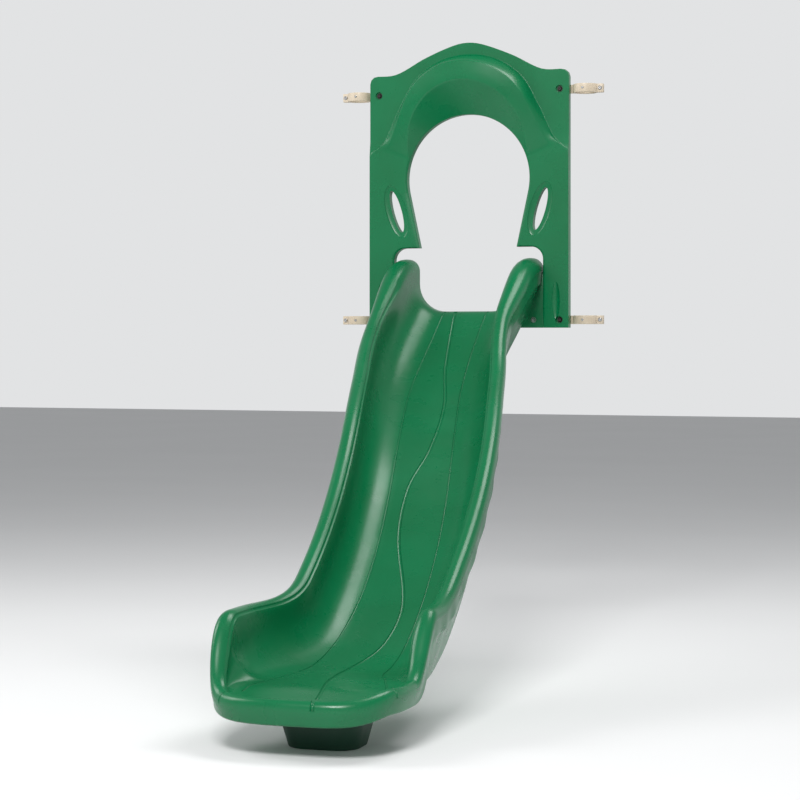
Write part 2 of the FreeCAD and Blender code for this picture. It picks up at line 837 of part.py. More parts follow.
def make_fasteners():
    """All bolts, nuts, washers, sleeves, spacers, rivets and inserts, grouped by kind."""
    hole = "(bolt_diameter + hole_clearance) / 2"
    bar = size("bar_thickness")
    thick = size("hood_thickness")
    front_face = size("split_depth") - size("clamp_split") / 2
    rear_face = size("split_depth") + size("clamp_split") / 2
    tab = size("tab_thickness")
    washer = size("washer_thickness")
    nut = size("nut_height")
    spare = size("thread_spare")
    floor = -bar - thick + size("counterbore_depth")
    hood_places = hood_bolt_places()

    washer_master = master_ring("washer_master", "washer_diameter / 2", hole, "washer_thickness")
    nut_master = master_nut("nut_master")

    length = -floor + washer + rear_face + tab + nut + spare
    bolt = master_bolt("hood_bolt_master", length)
    group("hood_bolts", bolt, [(a, floor - washer, z) for a, z in hood_places], TOWARDS_FRONT)
    group("hood_bolt_washers", washer_master, [(a, floor, z) for a, z in hood_places],
          TOWARDS_FRONT)
    group("hood_nuts", nut_master, [(a, rear_face + tab, z) for a, z in hood_places], TOWARDS_BACK)
    sleeve = master_ring("sleeve_master", hole + " + sleeve_wall", hole,
                         "hood_thickness - counterbore_depth")
    group("hood_sleeves", sleeve, [(a, -bar, z) for a, z in hood_places], TOWARDS_FRONT)
    spacer = master_ring("spacer_master", "washer_diameter / 2", hole,
                         "bar_thickness + split_depth - clamp_split / 2 - tab_thickness")
    group("hood_spacers", spacer, [(a, front_face - tab, z) for a, z in hood_places[:2]],
          TOWARDS_FRONT)

    ear = size("ear_thickness")
    outer = size("post_diameter") / 2 + size("post_clearance") + size("clamp_wall")
    ear_place = size("post_spacing") / 2 + outer + size("ear_reach") / 2
    places = [(side * ear_place, height) for side in (-1, 1)
              for height in (size("upper_clamp_height"), 0.0)]
    length = 2 * ear + size("clamp_split") + washer + nut + spare
    bolt = master_bolt("clamp_bolt_master", length)
    head_seat = front_face - ear
    group("clamp_bolts", bolt, [(a, head_seat, z) for a, z in places], TOWARDS_FRONT)
    group("clamp_nuts", nut_master, [(a, rear_face + ear, z) for a, z in places], TOWARDS_BACK)

    shank = cylinder("rivet_shank", "rivet_diameter / 2", "clamp_wall",
                     ("0", "0", "-clamp_wall"))
    head = doc.addObject("Part::Cone", "rivet_head")
    bind(head, Radius1="rivet_head_diameter / 2", Radius2="rivet_head_diameter / 3",
         Height="rivet_head_height")
    rivet = fuse("rivet_master", [shank, head])
    posts = [(side * size("post_spacing") / 2, height) for side in (-1, 1)
             for height in (size("upper_clamp_height"), 0.0)]
    group("post_rivets", rivet, [(a, -outer, z) for a, z in posts], TOWARDS_FRONT)

    front = -bar - size("wing_thickness")
    length = washer + size("wing_thickness") + bar + nut + washer + spare
    bolt = master_bolt("wing_bolt_master", length)
    wings = wing_bolt_places()
    group("flange_bolts", bolt, [(a, front - washer, 0.0) for a in wings], TOWARDS_FRONT)
    group("flange_washers", washer_master, [(a, front, 0.0) for a in wings], TOWARDS_FRONT)
    group("flange_nuts", nut_master, [(a, 0.0, 0.0) for a in wings], TOWARDS_BACK)

    upward = Rotation()
    downward = Rotation(Vector(1, 0, 0), 180)
    seat = belly_height()
    offset = (size("foot_bolt_offset_x"), size("foot_bolt_offset_y"))
    insert = master_ring("insert_master", "insert_diameter / 2", "bolt_diameter / 2",
                         "insert_length")
    group("foot_inserts", insert, foot_places(*offset, seat), upward)
    under = seat - size("seat_gap") - size("foot_crown")
    grip = washer + size("foot_crown") + size("seat_gap") + size("insert_length") - size("insert_spare")
    bolt = master_bolt("foot_bolt_master", grip)
    group("foot_bolts", bolt, foot_places(*offset, under - washer), downward)
    group("foot_washers", washer_master, foot_places(*offset, under), downward)


# ---------------------------------------------------------------- exit foot

def rounded_rectangle(half_width, half_depth, radius, height):
    """Closed rounded rectangle at a height."""
    root = 1 - 0.5 ** 0.5
    edges = []
    corners = [(1, -1), (1, 1), (-1, 1), (-1, -1)]
    arcs = []
    for a, b in corners:
        along_side = Vector(a * half_width, b * (half_depth - radius), height)
        along_end = Vector(a * (half_width - radius), b * half_depth, height)
        middle = Vector(a * (half_width - radius * root), b * (half_depth - radius * root), height)
        ends = (along_side, along_end) if a * b > 0 else (along_end, along_side)
        arcs.append((ends[0], middle, ends[1]))
    for number, (first, middle, last) in enumerate(arcs):
        edges.append(Part.Arc(first, middle, last).toShape())
        following = arcs[(number + 1) % 4][0]
        edges.append(Part.LineSegment(last, following).toShape())
    return Part.Wire(edges)


def foot_block(grow, low, high, taper_low, taper_high):
    """Tapered rounded block between two heights, with its slope set by the foot's full height."""
    wires = []
    for height in (low, high):
        share = (height - taper_low) / (taper_high - taper_low)
        width = size("foot_base_half_width") * (1 - share) + size("foot_top_half_width") * share
        depth = size("foot_base_half_depth") * (1 - share) + size("foot_top_half_depth") * share
        radius = size("foot_corner_radius") + grow
        wires.append(rounded_rectangle(width + grow, depth + grow, radius, height))
    return Part.makeLoft(wires, True, True)


def make_foot():
    """Hollow tapered pedestal under the exit, open below, with an inward flange on the ground."""
    top = belly_height() - size("seat_gap")
    wall = size("foot_wall")
    body = foot_block(0.0, 0.0, top, 0.0, top)
    body = body.cut(foot_block(-wall, wall, top - size("foot_crown"), 0.0, top))
    body = body.cut(foot_block(-size("foot_flange"), -1.0, wall + 1.0, 0.0, top))
    anchor = size("anchor_offset")
    anchor_radius = size("anchor_hole_diameter") / 2
    crown = top - size("foot_crown")
    for a, b in ((-1, -1), (1, -1), (1, 1), (-1, 1)):
        body = body.cut(rod(anchor_radius, wall + 2, (a * anchor, b * anchor, -1), (0, 0, 1)))
        place = (a * size("foot_bolt_offset_x"), b * size("foot_bolt_offset_y"), crown - 1)
        body = body.cut(rod(hole_radius(), size("foot_crown") + 2, place, (0, 0, 1)))
    centre, heading = foot_frame()
    body.Placement = FreeCAD.Placement(centre, Rotation(Vector(0, 0, 1), heading))
    return feature("exit_foot", body)


# ---------------------------------------------------------------- build and write

def check(item):
    """Stop if an object failed or its shape is empty or invalid."""
    if "Invalid" in item.State or "Error" in item.State:
        raise RuntimeError("%s failed: %s" % (item.Label, item.State))
    if hasattr(item, "Shape") and (item.Shape.isNull() or not item.Shape.isValid()):
        raise RuntimeError("%s has no valid shape" % item.Label)


def main():
    """Build every piece, check it and write it."""
    make_chute()
    make_hood()
    make_foot()
    make_support_bar()
    for label, side, height in CLAMPS:
        make_clamp(label, side, height)
    make_fasteners()
    doc.recompute()
    for item in doc.Objects:
        check(item)
    os.makedirs("parts", exist_ok=True)
    for item in NODES:
        item.Shape.exportStep("parts/%s.step" % item.Label)


main()
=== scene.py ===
"""Wave slide with an entrance hood: detailed pieces, finishes, floor, lights and camera.

Metres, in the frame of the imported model: +Z up, the chute runs down towards -Y from the support
bar at the origin, and the posts' centres lie on y = 0.
"""

import json
import logging
import math
from dataclasses import dataclass, field
from enum import Enum
from typing import Iterable, Optional, Sequence

import bmesh
import bpy
from mathutils import Matrix, Vector


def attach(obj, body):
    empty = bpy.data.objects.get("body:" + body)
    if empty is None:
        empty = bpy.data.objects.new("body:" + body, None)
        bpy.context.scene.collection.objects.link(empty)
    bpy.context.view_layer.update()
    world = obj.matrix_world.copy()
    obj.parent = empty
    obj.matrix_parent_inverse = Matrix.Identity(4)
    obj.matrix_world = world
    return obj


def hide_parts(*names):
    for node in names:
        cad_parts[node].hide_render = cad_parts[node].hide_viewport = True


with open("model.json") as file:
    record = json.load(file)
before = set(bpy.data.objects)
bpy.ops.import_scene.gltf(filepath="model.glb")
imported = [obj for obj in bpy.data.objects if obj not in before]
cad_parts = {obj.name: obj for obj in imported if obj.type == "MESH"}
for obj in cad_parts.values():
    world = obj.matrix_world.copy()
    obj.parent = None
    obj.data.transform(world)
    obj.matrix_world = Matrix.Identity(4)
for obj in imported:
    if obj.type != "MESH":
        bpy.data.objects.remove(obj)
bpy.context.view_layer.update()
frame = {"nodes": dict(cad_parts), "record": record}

LOG = logging.getLogger("wave_slide")
Ring = list[Vector]
Pair = tuple[float, float]
BMesh = bmesh.types.BMesh
Colour = tuple[float, float, float]
Socket = bpy.types.NodeSocket

# Shares of a section's parts at which its points stand, and the steps of its arcs.
BED_SHARES = (0, 0.15, 0.3, 0.45, 0.6, 0.75, 0.88, 1.0)
COVE_STEPS = 10
WALL_SHARES = (0.33, 0.66)
RAIL_STEPS = 20
BEAD_STEPS = (3, 4)
LEG_SHARES = (0.07, 0.14, 0.25, 0.35, 0.48, 0.62, 0.78, 0.93)
VISOR_SHARES = ((0.33, 0.42), (0.7, 0.8), (1.0, 0.97))
VISOR_FRONT_SHARES = (0.45, 0.85)


class Side(Enum):
    """Side of the slide, seen from its exit."""

    LEFT = -1
    RIGHT = 1


class ClampHalf(Enum):
    """Which half of a split post clamp a piece is."""

    FRONT = "front"
    REAR = "rear"


# ---- small helpers

def smoothstep(value: float) -> float:
    """Ease from 0 to 1 as value goes from 0 to 1."""
    value = min(max(value, 0.0), 1.0)
    return value * value * (3 - 2 * value)
def eased(place: float, stretch: Pair) -> float:
    """Ease from 0 to 1 over a stretch, given by its start and its length."""
    return smoothstep((place - stretch[0]) / stretch[1])
def mix(first: float, last: float, share: float) -> float:
    """Blend two numbers by a share from 0 to 1."""
    return first * (1 - share) + last * share


def arc(centre: Pair, radius: float, first: float, last: float,
        count: int) -> list[Pair]:
    """Points along a circular arc.

    Args:
        centre: Centre of the arc in its plane.
        radius: Radius of the arc.
        first: Angle where it starts, in degrees.
        last: Angle where it ends, in degrees.
        count: Number of equal steps.

    Returns:
        count + 1 points, both ends included.
    """
    angles = [math.radians(mix(first, last, number / count)) for number in range(count + 1)]
    return [(centre[0] + radius * math.cos(turn), centre[1] + radius * math.sin(turn))
            for turn in angles]


def curve_through(knots: Sequence[Pair], place: float) -> float:
    """Read a smooth curve through a few knots.

    Args:
        knots: Pairs of place and value, in rising order of place.
        place: Where to read the curve; it is held level past both ends.

    Returns:
        The value at that place, with a slope that is continuous at every knot.
    """
    if place <= knots[0][0]:
        return knots[0][1]
    if place >= knots[-1][0]:
        return knots[-1][1]
    index = max(number for number, knot in enumerate(knots[:-1]) if knot[0] <= place)
    (x1, y1), (x2, y2) = knots[index], knots[index + 1]
    slopes = []
    for number in (index, index + 1):
        if 0 < number < len(knots) - 1:
            before, after = knots[number - 1], knots[number + 1]
            slopes.append((after[1] - before[1]) / (after[0] - before[0]))
        else:
            slopes.append(0.0)
    span = x2 - x1
    share = (place - x1) / span
    square, cube = share ** 2, share ** 3
    return (y1 * (2 * cube - 3 * square + 1) + y2 * (3 * square - 2 * cube)
            + span * (slopes[0] * (cube - 2 * square + share) + slopes[1] * (cube - square)))


def loft(rings: Sequence[Ring], closed: bool = True) -> BMesh:
    """Extrude a first ring of edges through the places of the following rings.

    Args:
        rings: Rings with the same number of points, in order.
        closed: Whether each ring's last point joins its first.

    Returns:
        A bmesh with the skin between the rings, its ends open.
    """
    bm = bmesh.new()
    ring = [bm.verts.new(point) for point in rings[0]]
    pairs = list(zip(ring, ring[1:]))
    if closed:
        pairs.append((ring[-1], ring[0]))
    edges = [bm.edges.new(pair) for pair in pairs]
    for places in rings[1:]:
        made = bmesh.ops.extrude_edge_only(bm, edges=edges)["geom"]
        bm.verts.index_update()
        fresh = {item for item in made if isinstance(item, bmesh.types.BMVert)}
        following = []
        for vert in ring:
            following.append(next(edge.other_vert(vert) for edge in vert.link_edges
                                  if edge.other_vert(vert) in fresh))
        for vert, point in zip(following, places):
            vert.co = point
        ring = following
        edges = [item for item in made if isinstance(item, bmesh.types.BMEdge)
                 and all(vert in fresh for vert in item.verts)]
    return bm


def close_solid(bm: BMesh) -> None:
    """Weld doubles, fill open ends and turn every face outwards."""
    bmesh.ops.remove_doubles(bm, verts=bm.verts, dist=1e-6)
    bmesh.ops.dissolve_degenerate(bm, edges=bm.edges, dist=1e-6)
    rims = [edge for edge in bm.edges if edge.is_boundary]
    if rims:
        bmesh.ops.holes_fill(bm, edges=rims, sides=0)
    bmesh.ops.recalc_face_normals(bm, faces=bm.faces)


def plate(outline: Sequence[Vector], travel: Vector, soften: float = 0.0,
          segments: int = 2) -> BMesh:
    """Extrude a flat outline into a plate and round its edges.

    Args:
        outline: Corners of the outline in order.
        travel: How far and which way the outline is extruded.
        soften: Width of the rounded edges, or 0 for sharp ones.
        segments: Steps across each rounded edge.

    Returns:
        A closed bmesh.
    """
    bm = bmesh.new()
    face = bm.faces.new([bm.verts.new(point) for point in outline])
    made = bmesh.ops.extrude_face_region(bm, geom=[face])["geom"]
    fresh = [item for item in made if isinstance(item, bmesh.types.BMVert)]
    bmesh.ops.translate(bm, verts=fresh, vec=travel)
    bmesh.ops.recalc_face_normals(bm, faces=bm.faces)
    if soften:
        sharp = [edge for edge in bm.edges if edge.calc_face_angle(0.0) > math.radians(35)]
        bmesh.ops.bevel(bm, geom=sharp, offset=soften, segments=segments, affect="EDGES",
                        profile=0.5, material=-1, clamp_overlap=True)
    return bm


def shade(bm: BMesh, sharp_degrees: float) -> None:
    """Smooth every face, and keep the edges that turn more than an angle sharp."""
    for face in bm.faces:
        face.smooth = True
    for edge in bm.edges:
        edge.smooth = edge.calc_face_angle(0.0) < math.radians(sharp_degrees)


def make_object(name: str, bm: BMesh, sharp_degrees: float = 40.0) -> bpy.types.Object:
    """Turn a bmesh into an object at the origin, smooth but for its sharp edges.

    Args:
        name: Name of the object and its mesh.
        bm: The finished bmesh, which is freed.
        sharp_degrees: Edges that turn more than this stay sharp.

    Returns:
        The new object, linked to the scene.
    """
    mesh = bpy.data.meshes.new(name)
    shade(bm, sharp_degrees)
    bm.to_mesh(mesh)
    bm.free()
    made = bpy.data.objects.new(name, mesh)
    bpy.context.scene.collection.objects.link(made)
    return made


def apply_modifiers(piece: bpy.types.Object) -> None:
    """Replace an object's mesh with the result of its modifiers."""
    graph = bpy.context.evaluated_depsgraph_get()
    mesh = bpy.data.meshes.new_from_object(piece.evaluated_get(graph))
    piece.modifiers.clear()
    piece.data = mesh


def carve(piece: bpy.types.Object, cutters: Iterable[BMesh],
          sharp_degrees: float = 40.0) -> None:
    """Cut closed shapes out of a piece.

    Args:
        piece: The piece to carve.
        cutters: Closed bmeshes, which are freed.
        sharp_degrees: Edges of the result that turn more than this stay sharp.
    """
    for number, cutter in enumerate(cutters):
        tool = make_object("cutter_%d" % number, cutter)
        carving = piece.modifiers.new("carve", "BOOLEAN")
        carving.operation = "DIFFERENCE"
        carving.solver = "EXACT"
        carving.object = tool
        apply_modifiers(piece)
        bpy.data.objects.remove(tool)
    bm = bmesh.new()
    bm.from_mesh(piece.data)
    bmesh.ops.remove_doubles(bm, verts=bm.verts, dist=1e-5)
    bmesh.ops.dissolve_degenerate(bm, edges=bm.edges, dist=1e-5)
    shade(bm, sharp_degrees)
    bm.to_mesh(piece.data)
    bm.free()


def tube(points: Sequence[Vector], radius: float, up: Vector, sides: int = 20) -> BMesh:
    """Closed round bar along a route.

    Args:
        points: Points of the route.
        radius: Radius of the bar.
        up: A direction that is never along the route.
        sides: Number of sides of its section.

    Returns:
        A closed bmesh with flat ends.
    """
    rings = []
    for number, point in enumerate(points):
        ahead = points[min(number + 1, len(points) - 1)]
        behind = points[max(number - 1, 0)]
        along = (ahead - behind).normalized()
        across = along.cross(up).normalized()
        rise = across.cross(along).normalized()
        turns = [2 * math.pi * side / sides for side in range(sides)]
        rings.append([point + across * (radius * math.cos(turn)) + rise * (radius * math.sin(turn))
                      for turn in turns])
    bm = loft(rings)
    close_solid(bm)
    return bm


def cylinder(centre: Vector, radius: float, length: float) -> BMesh:
    """Closed cylinder along Y, centred on a point."""
    bm = bmesh.new()
    bmesh.ops.create_cone(bm, cap_ends=True, segments=40, radius1=radius, radius2=radius,
                          depth=length)
    bmesh.ops.rotate(bm, verts=bm.verts, matrix=Matrix.Rotation(math.pi / 2, 3, "X"))
    bmesh.ops.translate(bm, verts=bm.verts, vec=centre)
    return bm


# ---- finishes

def colour_ramp(tree: bpy.types.NodeTree, value: Socket,
                stops: Sequence[tuple[float, Colour]]) -> Socket:
    """Colour a value with a ramp.

    Args:
        tree: Node tree that the ramp goes into.
        value: Value to colour.
        stops: Two pairs of position and colour, in rising order.

    Returns:
        The ramp's colour.
    """
    ramp = tree.nodes.new("ShaderNodeValToRGB")
    for number, (position, colour) in enumerate(stops):
        ramp.color_ramp.elements[number].position = position
        ramp.color_ramp.elements[number].color = (*colour, 1)
    tree.links.new(value, ramp.inputs["Fac"])
    return ramp.outputs["Color"]


class Surface:
    """A node material under construction, with its patterns on Object coordinates."""

    def __init__(self, name: str) -> None:
        """Start a material with its main shader."""
        self.material = bpy.data.materials.new(name)
        self.material.use_nodes = True
        self.tree = self.material.node_tree
        self.shader = self.tree.nodes["Principled BSDF"]
        self.place = self.tree.nodes.new("ShaderNodeTexCoord").outputs["Object"]

    def noise(self, pattern: Pair, stretch: Optional[tuple] = None) -> Socket:
        """Add a noise texture.

        Args:
            pattern: Its scale and its detail.
            stretch: How much finer it is along each axis, or None for the same on all.

        Returns:
            The texture's value.
        """
        texture = self.tree.nodes.new("ShaderNodeTexNoise")
        texture.inputs["Scale"].default_value = pattern[0]
        texture.inputs["Detail"].default_value = pattern[1]
        place = self.place
        if stretch:
            mapping = self.tree.nodes.new("ShaderNodeMapping")
            mapping.inputs["Scale"].default_value = stretch
            self.tree.links.new(place, mapping.inputs["Vector"])
            place = mapping.outputs["Vector"]
        self.tree.links.new(place, texture.inputs["Vector"])
        return texture.outputs["Fac"]

    def tint(self, value: Socket, stops: Sequence[tuple[float, Colour]]) -> None:
        """Drive the base colour from a value through a ramp."""
        colour = colour_ramp(self.tree, value, stops)
        self.tree.links.new(colour, self.shader.inputs["Base Color"])

    def roughen(self, value: Socket, source: Pair, target: Pair) -> None:
        """Drive the roughness from a value, mapped from one range to another."""
        node = self.tree.nodes.new("ShaderNodeMapRange")
        node.inputs["From Min"].default_value, node.inputs["From Max"].default_value = source
        node.inputs["To Min"].default_value, node.inputs["To Max"].default_value = target
        self.tree.links.new(value, node.inputs["Value"])
        self.tree.links.new(node.outputs["Result"], self.shader.inputs["Roughness"])

    def bump(self, height: Socket, strength: float, distance: float) -> None:
        """Drive the shader's normal from a height."""
        node = self.tree.nodes.new("ShaderNodeBump")
        node.inputs["Strength"].default_value = strength
        node.inputs["Distance"].default_value = distance
        self.tree.links.new(height, node.inputs["Height"])
        self.tree.links.new(node.outputs["Normal"], self.shader.inputs["Normal"])


@dataclass(frozen=True)
class Moulded:
    """Moulded, through-coloured plastic with a faint orange-peel skin and soft mottling."""

    name: str
    colour: Colour
    light: Colour
    roughness: float = 0.34
    peel: float = 0.03
    mottle: Pair = (3.2, 5.0)
    scuffs: Pair = (11.0, 6.0)
    skin: Pair = (420.0, 2.0)
    skin_depth: float = 0.0006
    sheen: float = 0.42

    def make(self) -> bpy.types.Material:
        """Build the node material and return it."""
        surface = Surface(self.name)
        surface.tint(surface.noise(self.mottle), ((0.3, self.colour), (0.72, self.light)))
        surface.roughen(surface.noise(self.scuffs), (0.35, 0.75),
                        (self.roughness - 0.03, self.roughness + 0.05))
        surface.bump(surface.noise(self.skin), self.peel, self.skin_depth)
        surface.shader.inputs["Specular IOR Level"].default_value = self.sheen
        return surface.material


@dataclass(frozen=True)
class PowderCoat:
    """Baked powder coat on metal: fine pebbled skin, slightly uneven gloss."""

    name: str
    colour: Colour
    worn: Colour
    roughness: float = 0.42
    patches: Pair = (14.0, 4.0)
    pebble: Pair = (900.0, 2.0)
    pebble_strength: float = 0.15
    pebble_depth: float = 0.0004

    def make(self) -> bpy.types.Material:
        """Build the node material and return it."""
        surface = Surface(self.name)
        patches = surface.noise(self.patches)
        surface.tint(patches, ((0.35, self.colour), (0.8, self.worn)))
        surface.roughen(patches, (0.3, 0.7), (self.roughness - 0.06, self.roughness + 0.08))
        surface.bump(surface.noise(self.pebble), self.pebble_strength, self.pebble_depth)
        return surface.material


@dataclass(frozen=True)
class PlatedMetal:
    """Bare or plated metal with fine turning marks."""

    name: str
    colour: Colour
    dull: Colour
    roughness: float = 0.3
    marks: Pair = (12.0, 4.0)
    marks_stretch: tuple[float, float, float] = (20, 160, 20)
    marks_strength: float = 0.08
    marks_depth: float = 0.0003

    def make(self) -> bpy.types.Material:
        """Build the node material and return it."""
        surface = Surface(self.name)
        marks = surface.noise(self.marks, self.marks_stretch)
        surface.tint(marks, ((0.0, self.dull), (1.0, self.colour)))
        surface.roughen(marks, (0.2, 0.8), (self.roughness - 0.08, self.roughness + 0.14))
        surface.bump(marks, self.marks_strength, self.marks_depth)
        surface.shader.inputs["Metallic"].default_value = 1.0
        return surface.material


@dataclass
class Finishes:
    """Every finish of the slide, made once and shared."""

    green: Moulded = Moulded("green_plastic", (0.0, 0.13, 0.042), (0.0, 0.158, 0.055), 0.29)
    # The foot's near-black green is painted shade: the chute's green darkened to the shadow under the
    # exit.
    foot: Moulded = Moulded("foot_plastic", (0.003, 0.03, 0.016), (0.005, 0.042, 0.022), 0.5, 0.12)
    clamp: PowderCoat = PowderCoat("clamp_paint", (0.56, 0.47, 0.35), (0.63, 0.54, 0.42))
    bar: PowderCoat = PowderCoat("dark_steel", (0.018, 0.012, 0.012), (0.03, 0.022, 0.02))
    steel: PlatedMetal = PlatedMetal("steel", (0.6, 0.6, 0.6), (0.4, 0.4, 0.41))
    brass: PlatedMetal = PlatedMetal("insert_brass", (0.75, 0.58, 0.25), (0.55, 0.42, 0.18))
    made: dict = field(default_factory=dict)

    def build(self) -> None:
        """Make every material."""
        for finish in (self.green, self.foot, self.clamp, self.bar, self.steel, self.brass):
            self.made[finish.name] = finish.make()

    def dress(self, piece: bpy.types.Object, slot: str) -> None:
        """Give a piece the finish of one of the record's slots."""
        piece.data.materials.clear()
        piece.data.materials.append(self.made[slot])

    def dress_frame(self) -> None:
        """Give every carried-over CAD node its finish; the hood's sunk bolts and washers get the dark
        steel instead, as painted shade for the shadow deep in their counterbores.
        """
        for entry in frame["record"]["subparts"]:
            node = frame["nodes"][entry["node"]]
            # The hood's bolts and washers are steel; the dark finish on them is painted shade for the
            # shadow in their counterbores.
            sunk = entry["node"] in ("hood_bolts", "hood_bolt_washers")
            for place in node.material_slots:
                place.material = self.made["dark_steel" if sunk else entry["material_slot"]]


# ---- bed path

@dataclass
class BedPath:
    """Centreline of the sliding bed: height and sideways place as functions of the run."""

    reach: float = 2.8
    top: float = 0.039
    exit_height: float = -1.268
    exit_shift: float = 0.317
    brow_start: float = 0.025
    brow_length: float = 0.09
    runout_start: float = 1.72
    runout_end: float = 2.22
    crest_lag: float = 0.06
    wave_length: float = 1.18
    wave_depth: float = 0.2
    first_turn: float = 14.0
    first_turn_stretch: Pair = (0.08, 0.18)
    swing_back: float = 10.5
    swing_back_stretch: Pair = (0.34, 0.28)
    slope_gap: float = 0.008
    steps: int = 560
    heights: list = field(default_factory=list)
    sides: list = field(default_factory=list)
    headings: list = field(default_factory=list)

    def build(self) -> None:
        """Add up the slope and the heading along the run."""
        step = self.reach / self.steps
        falls = [0.0]
        for index in range(self.steps):
            falls.append(falls[-1] + self.relative_slope((index + 0.5) * step))
        drop = self.top - self.exit_height
        self.heights = [self.top - drop * fall / falls[-1] for fall in falls]
        turns = [math.radians(self.heading_degrees(index * step))
                 for index in range(self.steps + 1)]
        drifts = [0.0]
        for first, last in zip(turns, turns[1:]):
            drifts.append(drifts[-1] + step * math.tan((first + last) / 2))
        scale = self.exit_shift / drifts[-1]
        self.sides = [scale * drift for drift in drifts]
        self.headings = [math.atan(scale * math.tan(turn)) for turn in turns]

    def relative_slope(self, run: float) -> float:
        """Slope of the bed before it is scaled to the drop: brow, waves, run-out."""
        brow = smoothstep((run - self.brow_start) / self.brow_length)
        runout = 1 - smoothstep((run - self.runout_start) / (self.runout_end - self.runout_start))
        crest = self.brow_start + self.brow_length + self.crest_lag
        wave = 1 + self.wave_depth * math.cos(2 * math.pi * (run - crest) / self.wave_length)
        return brow * runout * wave

    def heading_degrees(self, run: float) -> float:
        """Heading seen from above before it is scaled: out and part of the way back."""
        share = run / self.reach
        out = self.first_turn * eased(share, self.first_turn_stretch)
        return out - self.swing_back * eased(share, self.swing_back_stretch)

    def read(self, values: list, run: float) -> float:
        """Read a list of values along the path at a run."""
        place = min(max(run / self.reach * self.steps, 0.0), self.steps - 1e-6)
        index = int(place)
        return mix(values[index], values[index + 1], place - index)

    def axes(self, run: float) -> tuple[Vector, Vector, Vector, Vector]:
        """Local axes of the bed.

        Args:
            run: Distance out from the support bar.

        Returns:
            The bed's point, and the sideways, forward and up directions there.
        """
        gap = self.slope_gap
        span = min(run + gap, self.reach) - max(run - gap, 0.0)
        fall = self.read(self.heights, run - gap) - self.read(self.heights, run + gap)
        pitch = math.atan2(fall, span)
        heading = self.read(self.headings, run)
        origin = Vector((self.read(self.sides, run), -run, self.read(self.heights, run)))
        sideways = Vector((math.cos(heading), math.sin(heading), 0))
        forward = Vector((math.cos(pitch) * math.sin(heading), -math.cos(pitch) * math.cos(heading),
                          -math.sin(pitch)))
        return origin, sideways, forward, sideways.cross(forward) * -1


# ---- chute

@dataclass(frozen=True)
class Groove:
    """A groove down the bed: its route as pairs of run and offset, and the bar that cuts it."""

    knots: tuple[Pair, ...]
    radius: float
    lift: float


